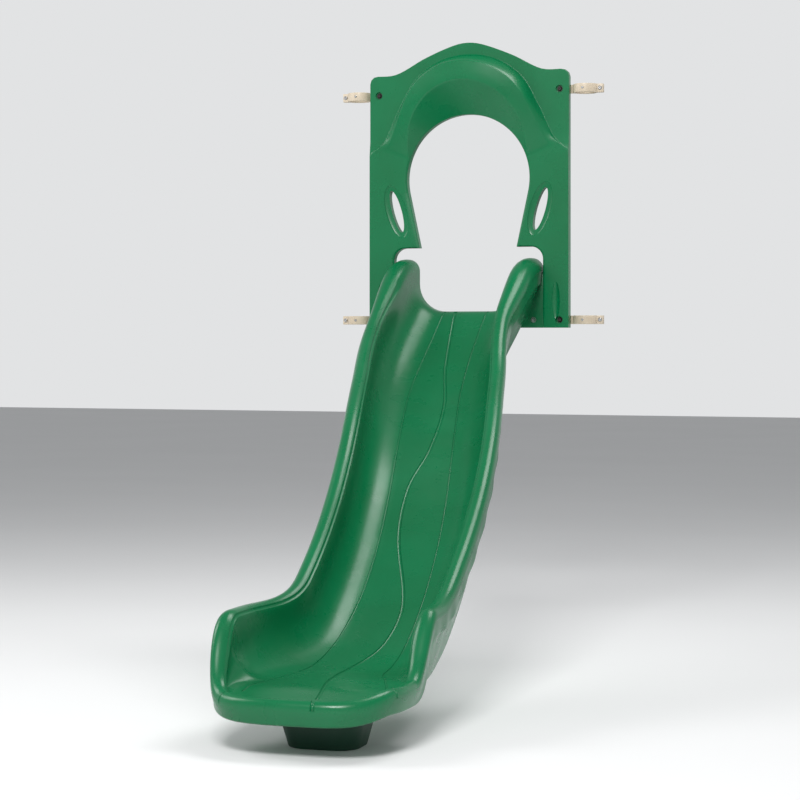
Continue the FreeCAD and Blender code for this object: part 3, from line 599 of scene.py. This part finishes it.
@dataclass
class Chute:
    """The hollow moulding: bed, coves, rolled rails, ribbed skirts, exit nose and entrance flange."""

    path: BedPath
    entry_half_width: float = 0.345
    run_half_width: float = 0.318
    entry_blend: Pair = (0.06, 0.3)
    side_height: float = 0.236
    entry_rail: float = 0.054
    run_rail: float = 0.034
    left_fall: tuple[float, float, float] = (2.43, 0.29, 1.6)
    right_fall: tuple[float, float, float] = (2.175, 0.27, 1.0)
    rail_slimming: Pair = (1.6, 0.6)
    lip_height: float = 0.014
    lip_radius: float = 0.028
    lip_drop: float = 0.076
    lip_droop: float = 0.03
    droop_shares: Pair = (0.5, 0.45)
    nose_start: float = 2.4
    nose_length: float = 0.4
    nose_power: float = 3.0
    nose_gain: float = 1.6
    exit_flare: float = 0.08
    flare: Pair = (1.8, 0.55)
    bed_half_flat: float = 0.112
    exit_half_flat: float = 0.225
    flat_spread: Pair = (1.95, 0.55)
    flat_share: float = 0.92
    cove_share: float = 0.86
    least_bend: float = 0.001
    bed_depth: float = 0.046
    bead_depth: float = 0.004
    bead_share: float = 0.1
    bead_blend: Pair = (0.05, 0.15)
    skirt_drop: float = 0.07
    skirt_hang: Pair = (2.3, 0.3)
    side_taper: float = 0.07
    exit_taper: float = 0.05
    taper_blend: Pair = (1.9, 0.4)
    rail_step: float = 0.004
    drafts: Pair = (0.001, 0.012)
    hems: Pair = (0.008, 0.016)
    bellies: Pair = (0.024, 0.004)
    rib_gap: float = 0.15
    rib_depth: float = 0.004
    station_gap: float = 0.013
    fan_steps: int = 84
    seam_weld: float = 2e-4
    sharp_degrees: float = 24.0
    back: float = 0.0095
    flange_back: float = 0.006
    flange_thickness: float = 0.01
    flange_low: float = -0.035
    flange_high: float = 0.221
    flange_tuck: float = 0.002
    flange_soften: float = 0.002
    groove_span: Pair = (0.05, 2.7)
    groove_steps: int = 190
    groove_limit: float = 0.93
    groove_end: float = 0.97
    groove_point_gap: float = 0.003
    groove_lean: float = 0.4
    grooves: tuple[Groove, ...] = (
        Groove(((0.05, -0.1), (0.5, -0.112), (1.6, -0.135), (1.9, -0.155), (2.33, -0.18),
                (2.66, -0.235)), 0.0045, 0.0008),
        Groove(((0.05, -0.05), (0.1, -0.044), (0.375, 0.007), (0.608, 0.048), (0.925, 0.014),
                (1.145, -0.053), (1.367, -0.055), (1.67, 0.037), (1.865, 0.03), (2.1, -0.022),
                (2.4, -0.01), (2.72, 0.045)), 0.008, 0.002),
        Groove(((0.05, 0.1), (0.5, 0.108), (1.6, 0.11), (2.2, 0.128), (2.4, 0.19),
                (2.58, 0.24)), 0.0045, 0.0008))

    def half_width(self, run: float, side: Side) -> float:
        """Half width to the rail's outside before the nose."""
        wide = mix(self.entry_half_width, self.run_half_width, eased(run, self.entry_blend))
        if side is Side.LEFT:
            wide += self.exit_flare * eased(run, self.flare)
        return wide

    def nose_reach(self, turn: float) -> float:
        """Distance from the nose's centre to its edge at an angle from straight ahead."""
        side = Side.RIGHT if turn > 0 else Side.LEFT
        across = abs(math.sin(turn)) / self.half_width(self.nose_start, side)
        ahead = abs(math.cos(turn)) / self.nose_length
        return (across ** self.nose_power + ahead ** self.nose_power) ** (-1 / self.nose_power)

    def trough(self, run: float, width: float, side: Side) -> tuple:
        """Sizes of the trough at a run, on one side.

        Args:
            run: Distance out from the support bar.
            width: Distance from the middle to the outside of the rail.
            side: Which side of the slide it is on.

        Returns:
            How far the wall has fallen, the rail's radius and top, the angle where the rail's
            arc opens, the distances to the wall and to the flat's end, and the cove's radius.
        """
        start, length, delay = self.left_fall if side is Side.LEFT else self.right_fall
        fall = eased(run, (start, length)) ** delay
        entry = eased(run, self.entry_blend)
        slim = smoothstep(self.rail_slimming[0] * fall - self.rail_slimming[1])
        rail = mix(mix(self.entry_rail, self.run_rail, entry), self.lip_radius, slim)
        rise = mix(self.side_height, self.lip_height, fall)
        shoulder = rise - rail
        sine = min(max((self.least_bend - shoulder) / rail, 0.0), 0.9)
        opening = 180 - math.degrees(math.asin(sine))
        inner = width - rail + rail * math.cos(math.radians(opening))
        spread = eased(run, self.flat_spread)
        flat = min(mix(self.bed_half_flat, self.exit_half_flat, spread), self.flat_share * inner)
        bend = max(min(inner - flat, self.cove_share * shoulder), self.least_bend)
        return fall, rail, rise, opening, inner, inner - bend, bend

    def bed_rise(self, run: float, offset: float) -> float:
        """Rise of the bed's surface above its flat at a distance from the centreline."""
        side = Side.RIGHT if offset > 0 else Side.LEFT
        sizes = self.trough(run, self.half_width(run, side), side)
        bed_end, bend = sizes[-2:]
        beyond = min(max(abs(offset) - bed_end, 0.0), 0.9 * bend)
        return bend - math.sqrt(bend ** 2 - beyond ** 2)

    def profile(self, run: float, width: float, side: Side, nose: float) -> list[tuple]:
        """Half outline from the middle of the bed, over the rail, to the middle of the belly.

        Args:
            run: Distance out from the support bar.
            width: Distance from the middle to the outside of the rail.
            side: Which side of the slide it is on.
            nose: 0 along the run, rising to 1 straight ahead at the exit.

        Returns:
            Pairs of distance outwards and rise above the bed.
        """
        fall, rail, rise, opening, inner, bed_end, bend = self.trough(run, width, side)
        shoulder = rise - rail
        points = [(bed_end * share, 0.0) for share in BED_SHARES]
        points += arc((bed_end, bend), bend, -90, 0, COVE_STEPS)[1:]
        top = max(shoulder, bend)
        points += [(inner, mix(bend, top, share)) for share in WALL_SHARES]
        bead = min(self.bead_depth, self.bead_share * rail) * (1 - fall) * eased(run, self.bead_blend)
        over = arc((width - rail, shoulder), rail, opening, 0, RAIL_STEPS)
        for number, (across, up) in enumerate(over):
            reach = 1 - bead / rail if number in BEAD_STEPS else 1.0
            points.append((width - rail + (across - width + rail) * reach,
                           shoulder + (up - shoulder) * reach))
        hang = max(fall, eased(run, self.skirt_hang), nose)
        return points + self.underside(run, width, shoulder, hang)

    def underside(self, run: float, width: float, shoulder: float, hang: float) -> list[tuple]:
        """Half outline from the rail's outside, down the skirt, to the middle of the belly.

        Args:
            run: Distance out from the support bar.
            width: Distance from the middle to the outside of the rail.
            shoulder: Height of the rail's centre above the bed.
            hang: 0 along the run, rising to 1 where the skirt hangs as the lip's face.

        Returns:
            Pairs of distance outwards and rise above the bed.
        """
        edge = mix(shoulder - self.skirt_drop, -self.lip_drop, hang)
        drop = shoulder - edge
        wave = 0.5 + 0.5 * math.cos(2 * math.pi * run / self.rib_gap)
        rib = self.rib_depth * wave * (1 - hang)
        step = self.rail_step * (1 - hang)
        low = width - mix(self.side_taper, self.exit_taper, eased(run, self.taper_blend))
        turn = mix(*self.hems, hang)
        face = width - step - mix(*self.drafts, hang)
        points = [(width, shoulder - 0.08 * drop), (width - step, shoulder - 0.16 * drop),
                  (mix(width - step, face, 0.5) - 0.5 * rib, shoulder - 0.5 * drop),
                  (face - 0.8 * rib, shoulder - 0.75 * drop), (face - rib, edge + turn)]
        points += arc((face - rib - turn, edge + turn), turn, -25, -90, 4)
        belly = mix(*self.bellies, hang)
        under = belly - self.bed_depth
        points += [(mix(face - rib - turn, low, 0.5), mix(edge, under, 0.5)), (low, under)]
        points += arc((low - belly, under), belly, -15, -90, 5)
        middle = low - belly
        return points + [(share * middle, under - belly) for share in (0.66, 0.33, 0.0)]

    def straight_ring(self, run: float, side: Side) -> Ring:
        """Half outline at a run on one side, placed in space."""
        origin, sideways, _, up = self.path.axes(run)
        outline = self.profile(run, self.half_width(run, side), side, 0.0)
        return [origin + sideways * (side.value * across) + up * rise for across, rise in outline]

    def nose_ring(self, turn: float) -> Ring:
        """Half outline of the nose at an angle from straight ahead, placed in space."""
        origin, sideways, forward, _ = self.path.axes(self.nose_start)
        ahead = Vector((forward.x, forward.y, 0)).normalized()
        outward = ahead * math.cos(turn) + sideways * math.sin(turn)
        width = self.nose_reach(turn)
        run = self.nose_start + width * math.cos(turn)
        side = Side.RIGHT if turn > 0 else Side.LEFT
        nose = smoothstep(math.cos(turn) * self.nose_gain)
        outline = self.profile(run, width, side, nose)
        return [self.drooped(origin + outward * across + Vector((0, 0, rise)))
                for across, rise in outline]

    def drooped(self, point: Vector) -> Vector:
        """Lower a point of the exit in proportion to how far out it is."""
        start, length = [share * self.nose_length for share in self.droop_shares]
        sink = self.lip_droop * eased(-point.y, (self.nose_start + start, length))
        return point - Vector((0, 0, sink))

    def runs(self) -> list[float]:
        """Runs of the stations before the nose."""
        count = int((self.nose_start - self.back) / self.station_gap)
        return [mix(self.back, self.nose_start, number / count) for number in range(count)]

    def build_body(self) -> bpy.types.Object:
        """Loft the half outlines down one side, round the nose and up the other side."""
        runs = self.runs()
        rings = [self.straight_ring(run, Side.LEFT) for run in runs]
        for number in range(self.fan_steps + 1):
            rings.append(self.nose_ring(math.pi * (number / self.fan_steps - 0.5)))
        rings += [self.straight_ring(run, Side.RIGHT) for run in reversed(runs)]
        bm = loft(rings, closed=False)
        seam = [edge for edge in bm.edges if edge.is_boundary]
        verts = {vert for edge in seam for vert in edge.verts}
        bmesh.ops.remove_doubles(bm, verts=list(verts), dist=self.seam_weld)
        close_solid(bm)
        return make_object("chute_body", bm, self.sharp_degrees)

    def groove_route(self, knots: tuple, runs: list[float]) -> list[Vector]:
        """Route of a groove down the bed and over the lip.

        Args:
            knots: Pairs of run and distance from the centreline.
            runs: Runs to read it at.

        Returns:
            Points on the bed's surface, then over the lip and down its face.
        """
        last = knots[-1]
        ring = self.nose_ring(math.atan2(last[1], last[0] - self.nose_start))
        bed_end = ring[len(BED_SHARES) - 1]
        limit = self.groove_limit * (bed_end - ring[0]).length
        route = []
        for run in runs:
            origin, sideways, _, up = self.path.axes(run)
            offset = curve_through(knots, run)
            point = origin + sideways * offset
            if run >= last[0] or run > self.nose_start and (point - ring[0]).length > limit:
                continue
            rise = self.bed_rise(run, offset) if run < self.nose_start else 0.0
            route.append(self.drooped(point + up * rise))
        route.append(self.drooped(ring[0].lerp(bed_end, self.groove_end)))
        cove_end = len(BED_SHARES) + COVE_STEPS - 1
        skirt_start = cove_end + len(WALL_SHARES) + RAIL_STEPS + 2
        for point in ring[cove_end:skirt_start + 1]:
            if (point - route[-1]).length > self.groove_point_gap:
                route.append(point)
        return route

    def groove_cutters(self) -> list[BMesh]:
        """Round bars that cut the three grooves of the bed."""
        runs = [mix(*self.groove_span, number / self.groove_steps)
                for number in range(self.groove_steps + 1)]
        cutters = []
        for groove in self.grooves:
            shift = Vector((0, -self.groove_lean * groove.lift, groove.lift))
            lifted = [point + shift for point in self.groove_route(groove.knots, runs)]
            cutters.append(tube(lifted, groove.radius, Vector((1, 0, 0))))
        return cutters

    def build_flange(self) -> bpy.types.Object:
        """Flat web between the rails' outer sides and the hood's legs, down to the hood's foot."""
        wide, low, high = self.entry_half_width, self.flange_low, self.flange_high
        inner = self.entry_half_width - 2 * self.entry_rail + self.flange_tuck
        bend = inner - self.bed_half_flat
        floor = self.path.top - self.flange_tuck
        right = [(0.0, floor), (inner - bend, floor)]
        right += arc((inner - bend, floor + bend), bend, -90, 0, COVE_STEPS)[1:]
        right += [(inner, high), (wide, high), (wide, low), (0.0, low)]
        left = [(-across, height) for across, height in reversed(right[1:-1])]
        outline = [Vector((across, -self.flange_back, height)) for across, height in right + left]
        bm = plate(outline, Vector((0, -self.flange_thickness, 0)), self.flange_soften)
        return make_object("chute_flange", bm)

    def build(self, finishes: Finishes) -> None:
        """Make the body and the flange, cut the grooves and dress both."""
        body = self.build_body()
        carve(body, self.groove_cutters(), self.sharp_degrees)
        flange = self.build_flange()
        for piece in (body, flange):
            finishes.dress(piece, "green_plastic")
            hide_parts("chute")
            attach(piece, "root")
            LOG.info("%s: %d faces", piece.name, len(piece.data.polygons))


# ---- hood

@dataclass
class Hood:
    """Arched entrance panel: legs, doorway, rail recesses, hand grips and a visor."""

    half_width: float = 0.468
    foot: float = -0.035
    shoulder: float = 1.108
    crown: float = 1.243
    corner: float = 0.034
    back: float = -0.006
    front: float = -0.046
    set_back: float = 0.009
    leg: float = 0.35
    recess: float = 0.325
    recess_bend: float = 0.055
    waist: float = 0.228
    door_radius: float = 0.288
    door_centre: float = 0.633
    visor_reach: float = 0.104
    visor_root: float = 0.731
    visor_lip: float = 1.055
    ridge: tuple = ((-77, 0.479), (-66, 0.43), (-45.6, 0.453), (-27.5, 0.515), (-13.3, 0.5436),
                    (0, 0.551), (13.3, 0.5436), (27.5, 0.515), (45.6, 0.453), (66, 0.43),
                    (77, 0.479))
    arch_end: float = 77.0
    leg_fades: Pair = (8.0, 9.0)
    rim_gaps: Pair = (0.004, 0.03)
    brow_share: float = 0.73
    visor_edge: float = 0.008
    visor_turn: float = 0.04
    door_ease: float = 0.006
    ridge_foot: float = 0.006
    crown_curve: tuple = ((0.0, 1.0), (0.16, 0.92), (0.47, 0.54), (0.78, 0.045), (1.0, 0.0))
    corner_angle: float = 46.0
    corner_sweep: float = 3.0
    leg_steps: int = 14
    bend_steps: int = 8
    jamb_steps: int = 9
    arch_steps: int = 96
    rounding: float = 0.005
    grip_place: tuple = (0.338, 0.492)
    grip_size: tuple = (0.023, 0.098)
    grip_tilt: float = 16.0
    grip_rim: float = 0.026
    grip_dish: float = 0.009
    leaf_place: tuple = (0.411, 0.085)
    leaf_size: tuple = (0.018, 0.008, 0.082)
    bolt_across: float = 0.425
    bolt_heights: tuple = (0.0, 1.02)
    counterbore: tuple = (0.017, 0.04)
    counterbore_depth: float = 0.018
    bolt_hole: tuple = (0.00725, 0.06)
    grip_cut: float = 0.08

    def top_height(self, across: float) -> float:
        """Height of the hood's top edge."""
        share = curve_through(self.crown_curve, abs(across) / (self.half_width - self.corner))
        return self.shoulder + (self.crown - self.shoulder) * share

    def outer_point(self, angle: float) -> Pair:
        """Point of the outer edge, read by the angle from straight up, to the right."""
        shelf = self.half_width - self.corner
        last = self.corner_angle + self.corner_sweep
        first = self.corner_angle - self.corner_sweep
        if abs(angle) > last:
            height = self.door_centre + self.half_width / math.tan(math.radians(abs(angle)))
            height = min(height, self.shoulder - self.corner)
            return math.copysign(self.half_width, angle), height
        if abs(angle) > first:
            swing = math.radians(90 * (last - abs(angle)) / (2 * self.corner_sweep))
            across = shelf + self.corner * math.cos(swing)
            return (math.copysign(across, angle),
                    self.shoulder - self.corner + self.corner * math.sin(swing))
        across = shelf * angle / first
        return across, self.top_height(across)

    def leg_stations(self) -> list[tuple]:
        """Inner and outer points of the right leg, from its foot to the arch's start."""
        stations = []
        start = self.recess - self.recess_bend
        for number in range(self.leg_steps):
            height = mix(self.foot, start, number / self.leg_steps)
            stations.append(((self.leg, height), (self.half_width, height)))
        inner = arc((self.leg - self.recess_bend, start), self.recess_bend, 0, 90,
                    self.bend_steps)
        edge = self.leg - self.recess_bend
        inner += [(mix(edge, self.waist, share), self.recess) for share in (0.35, 0.7, 1.0)]
        reach = math.hypot(self.waist, self.door_centre - self.recess)
        swing = (math.atan2(self.recess - self.door_centre, self.waist)
                 + math.acos(self.door_radius / reach))
        touch = (self.door_radius * math.cos(swing),
                 self.door_centre + self.door_radius * math.sin(swing))
        for number in range(1, self.jamb_steps + 1):
            share = number / self.jamb_steps
            inner.append((mix(self.waist, touch[0], share), mix(self.recess, touch[1], share)))
        last = self.outer_point(90 - math.degrees(swing))[1]
        for number, point in enumerate(inner):
            share = number / (len(inner) - 1)
            stations.append((point, (self.half_width, mix(start, last, share))))
        return stations

    def leg_ring(self, inner: tuple, outer: tuple) -> Ring:
        """Closed section of a leg between its inner and outer edges."""
        ring = [Vector((outer[0], self.back, outer[1])), Vector((outer[0], self.front, outer[1]))]
        for share in LEG_SHARES:
            ring.append(Vector((mix(outer[0], inner[0], share), self.front,
                                mix(outer[1], inner[1], share))))
        ring.append(Vector((inner[0], self.front + self.door_ease, inner[1])))
        ring.append(Vector((inner[0], self.back, inner[1])))
        return ring

    def arch_ring(self, angle: float) -> Ring:
        """Closed section of the arch and visor at an angle from straight up."""
        turn = math.radians(angle)
        tall = math.cos(turn)
        growth = self.visor_lip - self.door_centre - self.door_radius
        reach = (self.door_radius * tall - (self.visor_root - self.door_centre)) / (
            (self.visor_lip - self.visor_root) - growth * tall)
        reach = min(max(reach, 0.0), 1.0)
        depth = self.front - self.visor_reach * reach
        outer = self.outer_point(angle)
        outer_reach = math.hypot(outer[0], outer[1] - self.door_centre)
        beyond = abs(angle) - self.arch_end
        gap = self.rim_gaps[0] + self.rim_gaps[1] * smoothstep(beyond / self.leg_fades[0])
        ridge = min(curve_through(self.ridge, angle), outer_reach - gap)
        apart = smoothstep(-beyond / self.leg_fades[1])
        lip = self.door_radius + growth * reach + self.visor_edge
        brow = mix(lip, ridge, self.brow_share)
        sunk = self.front + self.set_back * apart

        def at(radius: float, y: float) -> Vector:
            """Point at a distance from the doorway's centre and a depth."""
            return Vector((radius * math.sin(turn), y, self.door_centre + radius * tall))

        foot = min(ridge + self.ridge_foot, outer_reach - 0.5 * gap)
        ring = [Vector((outer[0], self.back, outer[1])), Vector((outer[0], sunk, outer[1])),
                at(foot, sunk), at(ridge, self.front)]
        ring += [at(mix(ridge, brow, along), mix(self.front, depth, out))
                 for along, out in VISOR_SHARES]
        ring += [at(mix(brow, lip, along), depth) for along in VISOR_FRONT_SHARES]
        ring += [at(lip, mix(depth, self.front, self.visor_turn)),
                 at(self.door_radius, self.front + self.door_ease),
                 at(self.door_radius, self.back)]
        return ring

    def build_panel(self) -> bpy.types.Object:
        """Loft the sections up one leg, round the arch and down the other leg."""
        stations = self.leg_stations()
        right = [self.leg_ring(inner, outer) for inner, outer in stations]
        across, height = stations[-1][0]
        start = 90 - math.degrees(math.atan2(height - self.door_centre, across))
        arch = [self.arch_ring(start * (1 - 2 * number / self.arch_steps))
                for number in range(1, self.arch_steps)]
        left = [[Vector((-point.x, point.y, point.z)) for point in ring]
                for ring in reversed(right)]
        bm = loft(right + arch + left)
        close_solid(bm)
        piece = make_object("hood_panel", bm, 60)
        rounding = piece.modifiers.new("rounding", "BEVEL")
        rounding.width = self.rounding
        rounding.segments = 3
        rounding.limit_method = "ANGLE"
        rounding.angle_limit = math.radians(32)
        apply_modifiers(piece)
        return piece

    @staticmethod
    def leaned(bm: BMesh, size: tuple, tilt: float,
               centre: Vector) -> BMesh:
        """Pair a unit shape, lean it to the right and place it.

        Args:
            bm: The shape, centred on the origin.
            size: How much it is stretched along each axis.
            tilt: Lean to the right, in degrees.
            centre: Where its middle goes.

        Returns:
            The same bmesh.
        """
        bmesh.ops.scale(bm, verts=bm.verts, vec=size)
        bmesh.ops.rotate(bm, verts=bm.verts,
                         matrix=Matrix.Rotation(math.radians(tilt), 3, "Y"))
        bmesh.ops.translate(bm, verts=bm.verts, vec=centre)
        return bm

    def oval(self, centre: Vector, size: tuple, tilt: float, deep: float) -> BMesh:
        """Oval cutter through the panel; size is half width and half length."""
        return self.leaned(cylinder(Vector(), 1.0, deep), (size[0], 1, size[1]), tilt, centre)

    def dish(self, centre: Vector, size: tuple, tilt: float) -> BMesh:
        """Shallow oval dish cutter; size is half width, depth and half length."""
        bm = bmesh.new()
        bmesh.ops.create_uvsphere(bm, u_segments=48, v_segments=24, radius=1)
        return self.leaned(bm, size, tilt, centre)

    def cutters(self) -> list[BMesh]:
        """Grips with their dished surrounds, leaf dimples and bolt recesses."""
        made = []
        middle = (self.front + self.back) / 2
        for side in Side:
            across, height = self.grip_place
            tilt = side.value * self.grip_tilt
            face = Vector((side.value * across, self.front, height))
            made.append(self.dish(face, (self.grip_size[0] + self.grip_rim, self.grip_dish,
                                         self.grip_size[1] + self.grip_rim), tilt))
            through = Vector((side.value * across, middle, height))
            made.append(self.oval(through, self.grip_size, tilt, self.grip_cut))
            leaf = Vector((side.value * self.leaf_place[0], self.front, self.leaf_place[1]))
            made.append(self.dish(leaf, self.leaf_size, 0.0))
            for bolt_height in self.bolt_heights:
                out = side.value * self.bolt_across
                seat = Vector((out, self.front + self.counterbore_depth, bolt_height))
                back = Vector((0, self.counterbore[1] / 2, 0))
                made.append(cylinder(seat - back, *self.counterbore))
                made.append(cylinder(Vector((out, middle, bolt_height)), *self.bolt_hole))
        return made

    def build(self, finishes: Finishes) -> None:
        """Make the panel, carve it and dress it."""
        panel = self.build_panel()
        carve(panel, self.cutters(), 40)
        weighting = panel.modifiers.new("weighting", "WEIGHTED_NORMAL")
        weighting.keep_sharp = True
        apply_modifiers(panel)
        finishes.dress(panel, "green_plastic")
        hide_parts("hood")
        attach(panel, "root")
        LOG.info("%s: %d faces", panel.name, len(panel.data.polygons))


# ---- exit foot

@dataclass
class ExitFoot:
    """Hollow tapered pedestal under the exit, with an inward flange on the ground."""

    path: BedPath
    setback: float = 0.34
    ground: float = -1.485
    base: tuple = (0.128, 0.112)
    top: tuple = (0.168, 0.15)
    corner: float = 0.078
    height: float = 0.1706
    wall: float = 0.007
    crown: float = 0.01
    flange: float = 0.044
    hem: tuple = ((0.0, -0.004), (0.0015, -0.001), (0.006, 0.0))
    brim: tuple = ((0.012, 0.0), (0.003, -0.003), (0.0, -0.01))

    def ring(self, height: float, grow: float) -> Ring:
        """Rounded rectangle of the foot at a height, grown outwards, turned with the exit."""
        share = height / self.height
        wide = mix(self.base[0], self.top[0], share) + grow
        deep = mix(self.base[1], self.top[1], share) + grow
        bend = self.corner + grow
        origin, sideways, _, _ = self.path.axes(self.path.reach - self.setback)
        ahead = Vector((sideways.y, -sideways.x, 0))
        base = Vector((origin.x, origin.y, self.ground + height))
        points = []
        for number, (a, b) in enumerate(((1, 1), (-1, 1), (-1, -1), (1, -1))):
            centre = (a * (wide - bend), b * (deep - bend))
            points += arc(centre, bend, 90 * number, 90 * number + 90, 10)
        return [base + sideways * across + ahead * along for across, along in points]

    def build(self, finishes: Finishes) -> None:
        """Make the foot and dress it."""
        inside = self.height - self.crown
        stations = [(inside, -self.wall), (self.wall, -self.wall), (self.wall, -self.flange),
                    (0.0, -self.flange), *self.hem]
        stations += [(self.height - below, grow) for below, grow in self.brim]
        bm = loft([self.ring(height, grow) for height, grow in stations])
        close_solid(bm)
        piece = make_object("exit_foot_shell", bm, 30)
        # Its dark plastic is painted shade for the shadow under the exit.
        finishes.dress(piece, "foot_plastic")
        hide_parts("exit_foot")
        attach(piece, "root")
        LOG.info("%s: %d faces", piece.name, len(piece.data.polygons))


# ---- post clamps

@dataclass
class PostClamps:
    """Eight half clamps that hold the hood and the support bar to the two posts."""

    post: float = 0.5334
    heights: tuple = (("upper", 1.02), ("lower", 0.0))
    bore: float = 0.0445
    wall: float = 0.009
    height: float = 0.038
    front_face: float = 0.007
    rear_face: float = 0.008
    ear: float = 0.026
    ear_thickness: float = 0.012
    tab: float = 0.1304
    tab_thickness: float = 0.007
    ear_hole: float = 0.0665
    tab_hole: float = 0.1084
    hole: float = 0.00525
    hole_cut: float = 0.1
    soften: float = 0.0016
    steps: int = 36

    def outline(self, half: ClampHalf) -> list[Pair]:
        """Plan of one half: outwards from the post's centre, then depth towards the deck."""
        outer = self.bore + self.wall
        reach = outer + self.ear
        if half is ClampHalf.FRONT:
            face = self.front_face
            ear, tab = face - self.ear_thickness, face - self.tab_thickness
            start = math.degrees(math.asin(ear / outer))
            end = -180 - math.degrees(math.asin(tab / outer))
            outline = [(self.bore, face), (reach, face), (reach, ear)]
            outline += arc((0, 0), outer, start, end, self.steps)
            outline += [(-self.tab, tab), (-self.tab, face), (-self.bore, face)]
            return outline + arc((0, 0), self.bore, -180, 0, self.steps)
        face = self.rear_face
        ear, tab = face + self.ear_thickness, face + self.tab_thickness
        start = math.degrees(math.asin(ear / outer))
        end = 180 - math.degrees(math.asin(tab / outer))
        cut = math.degrees(math.asin(face / self.bore))
        outline = [(reach, face), (reach, ear)] + arc((0, 0), outer, start, end, self.steps)
        outline += [(-self.tab, tab), (-self.tab, face)]
        return outline + arc((0, 0), self.bore, 180 - cut, cut, self.steps)

    def build(self, finishes: Finishes) -> None:
        """Make every half, drill it and dress it."""
        for level, middle in self.heights:
            for side in Side:
                for half in ClampHalf:
                    name = "%s_%s_clamp_%s" % (level, side.name.lower(), half.value)
                    place = Vector((side.value * self.post, 0, middle))
                    low = Vector((0, 0, -self.height / 2))
                    outline = [place + low + Vector((side.value * out, depth, 0))
                               for out, depth in self.outline(half)]
                    bm = plate(outline, Vector((0, 0, self.height)), self.soften, 3)
                    piece = make_object(name + "_casting", bm, 35)
                    holes = [place + Vector((side.value * out, 0, 0))
                             for out in (self.ear_hole, -self.tab_hole)]
                    drills = [cylinder(hole, self.hole, self.hole_cut) for hole in holes]
                    carve(piece, drills, 35)
                    finishes.dress(piece, "clamp_paint")
                    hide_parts(name)
                    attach(piece, "root")
                    LOG.info("%s: %d faces", piece.name, len(piece.data.polygons))


# ---- studio

@dataclass
class Studio:
    """Pale floor, soft lights and the camera."""

    ground: float = -1.485
    target: tuple = (0.05, -1.2, -0.3)
    eye: tuple = (3.27, -9.883, -0.068)
    sight: tuple = (-0.3737, 0.9275, 0.0)
    lens: float = 104.0
    shift: tuple = (0.0956, -0.081)
    floor_half: float = 30.0
    floor_pattern: Pair = (0.6, 2.0)
    floor_tones: tuple = ((0.0, (0.80, 0.80, 0.80)), (1.0, (0.84, 0.84, 0.84)))
    floor_roughness: float = 0.85
    sky_tones: tuple = ((0.2, (0.95, 0.96, 0.97)), (0.55, (0.36, 0.37, 0.38)))
    sky_strength: float = 0.8
    lights: tuple = (("key", (1.2, -7.5, 4.5), 2.2, 420), ("side", (-4.5, -2.5, 3.0), 2.5, 110),
                     ("top", (2.0, 0.5, 5.0), 3.0, 170))

    def build_floor(self) -> None:
        """Pale seamless floor that fades into the background."""
        bm = bmesh.new()
        bmesh.ops.create_grid(bm, x_segments=1, y_segments=1, size=self.floor_half)
        bmesh.ops.translate(bm, verts=bm.verts, vec=Vector((0, 0, self.ground)))
        floor = make_object("floor", bm)
        surface = Surface("floor")
        surface.tint(surface.noise(self.floor_pattern), self.floor_tones)
        surface.shader.inputs["Roughness"].default_value = self.floor_roughness
        floor.data.materials.append(surface.material)

    def add_light(self, name: str, place: tuple, size: float, power: float) -> None:
        """Add a square soft light that faces the slide.

        Args:
            name: Name of the light.
            place: Where it stands.
            size: Length of its side.
            power: Its power in watts.
        """
        data = bpy.data.lights.new(name, "AREA")
        data.size = size
        data.energy = power
        light = bpy.data.objects.new(name, data)
        light.location = place
        aim = Vector(self.target) - Vector(place)
        light.rotation_euler = aim.to_track_quat("-Z", "Y").to_euler()
        bpy.context.scene.collection.objects.link(light)

    def build_world(self) -> None:
        """Light the scene softly from all round, paler low down than overhead."""
        world = bpy.data.worlds.new("studio")
        world.use_nodes = True
        tree = world.node_tree
        background = tree.nodes["Background"]
        background.inputs["Strength"].default_value = self.sky_strength
        split = tree.nodes.new("ShaderNodeSeparateXYZ")
        place = tree.nodes.new("ShaderNodeTexCoord").outputs["Generated"]
        tree.links.new(place, split.inputs["Vector"])
        colour = colour_ramp(tree, split.outputs["Z"], self.sky_tones)
        tree.links.new(colour, background.inputs["Color"])
        bpy.context.scene.world = world

    def build_camera(self) -> None:
        """Make the camera and set how its picture is developed."""
        bpy.context.scene.view_settings.view_transform = "Standard"
        data = bpy.data.cameras.new("camera")
        data.lens = self.lens
        data.shift_x, data.shift_y = self.shift
        data.clip_end = 200
        camera = bpy.data.objects.new("camera", data)
        camera.location = self.eye
        camera.rotation_euler = Vector(self.sight).to_track_quat("-Z", "Y").to_euler()
        bpy.context.scene.collection.objects.link(camera)
        bpy.context.scene.camera = camera

    def build(self) -> None:
        """Make the floor, the lights, the backdrop and the camera."""
        self.build_floor()
        for name, place, size, power in self.lights:
            self.add_light(name, place, size, power)
        self.build_world()
        self.build_camera()


def main() -> None:
    """Build every sub-assembly in order."""
    logging.basicConfig(level=logging.INFO, format="%(message)s")
    finishes = Finishes()
    finishes.build()
    finishes.dress_frame()
    path = BedPath()
    path.build()
    Chute(path).build(finishes)
    Hood().build(finishes)
    ExitFoot(path).build(finishes)
    PostClamps().build(finishes)
    Studio().build()


if __name__ == "__main__":
    main()
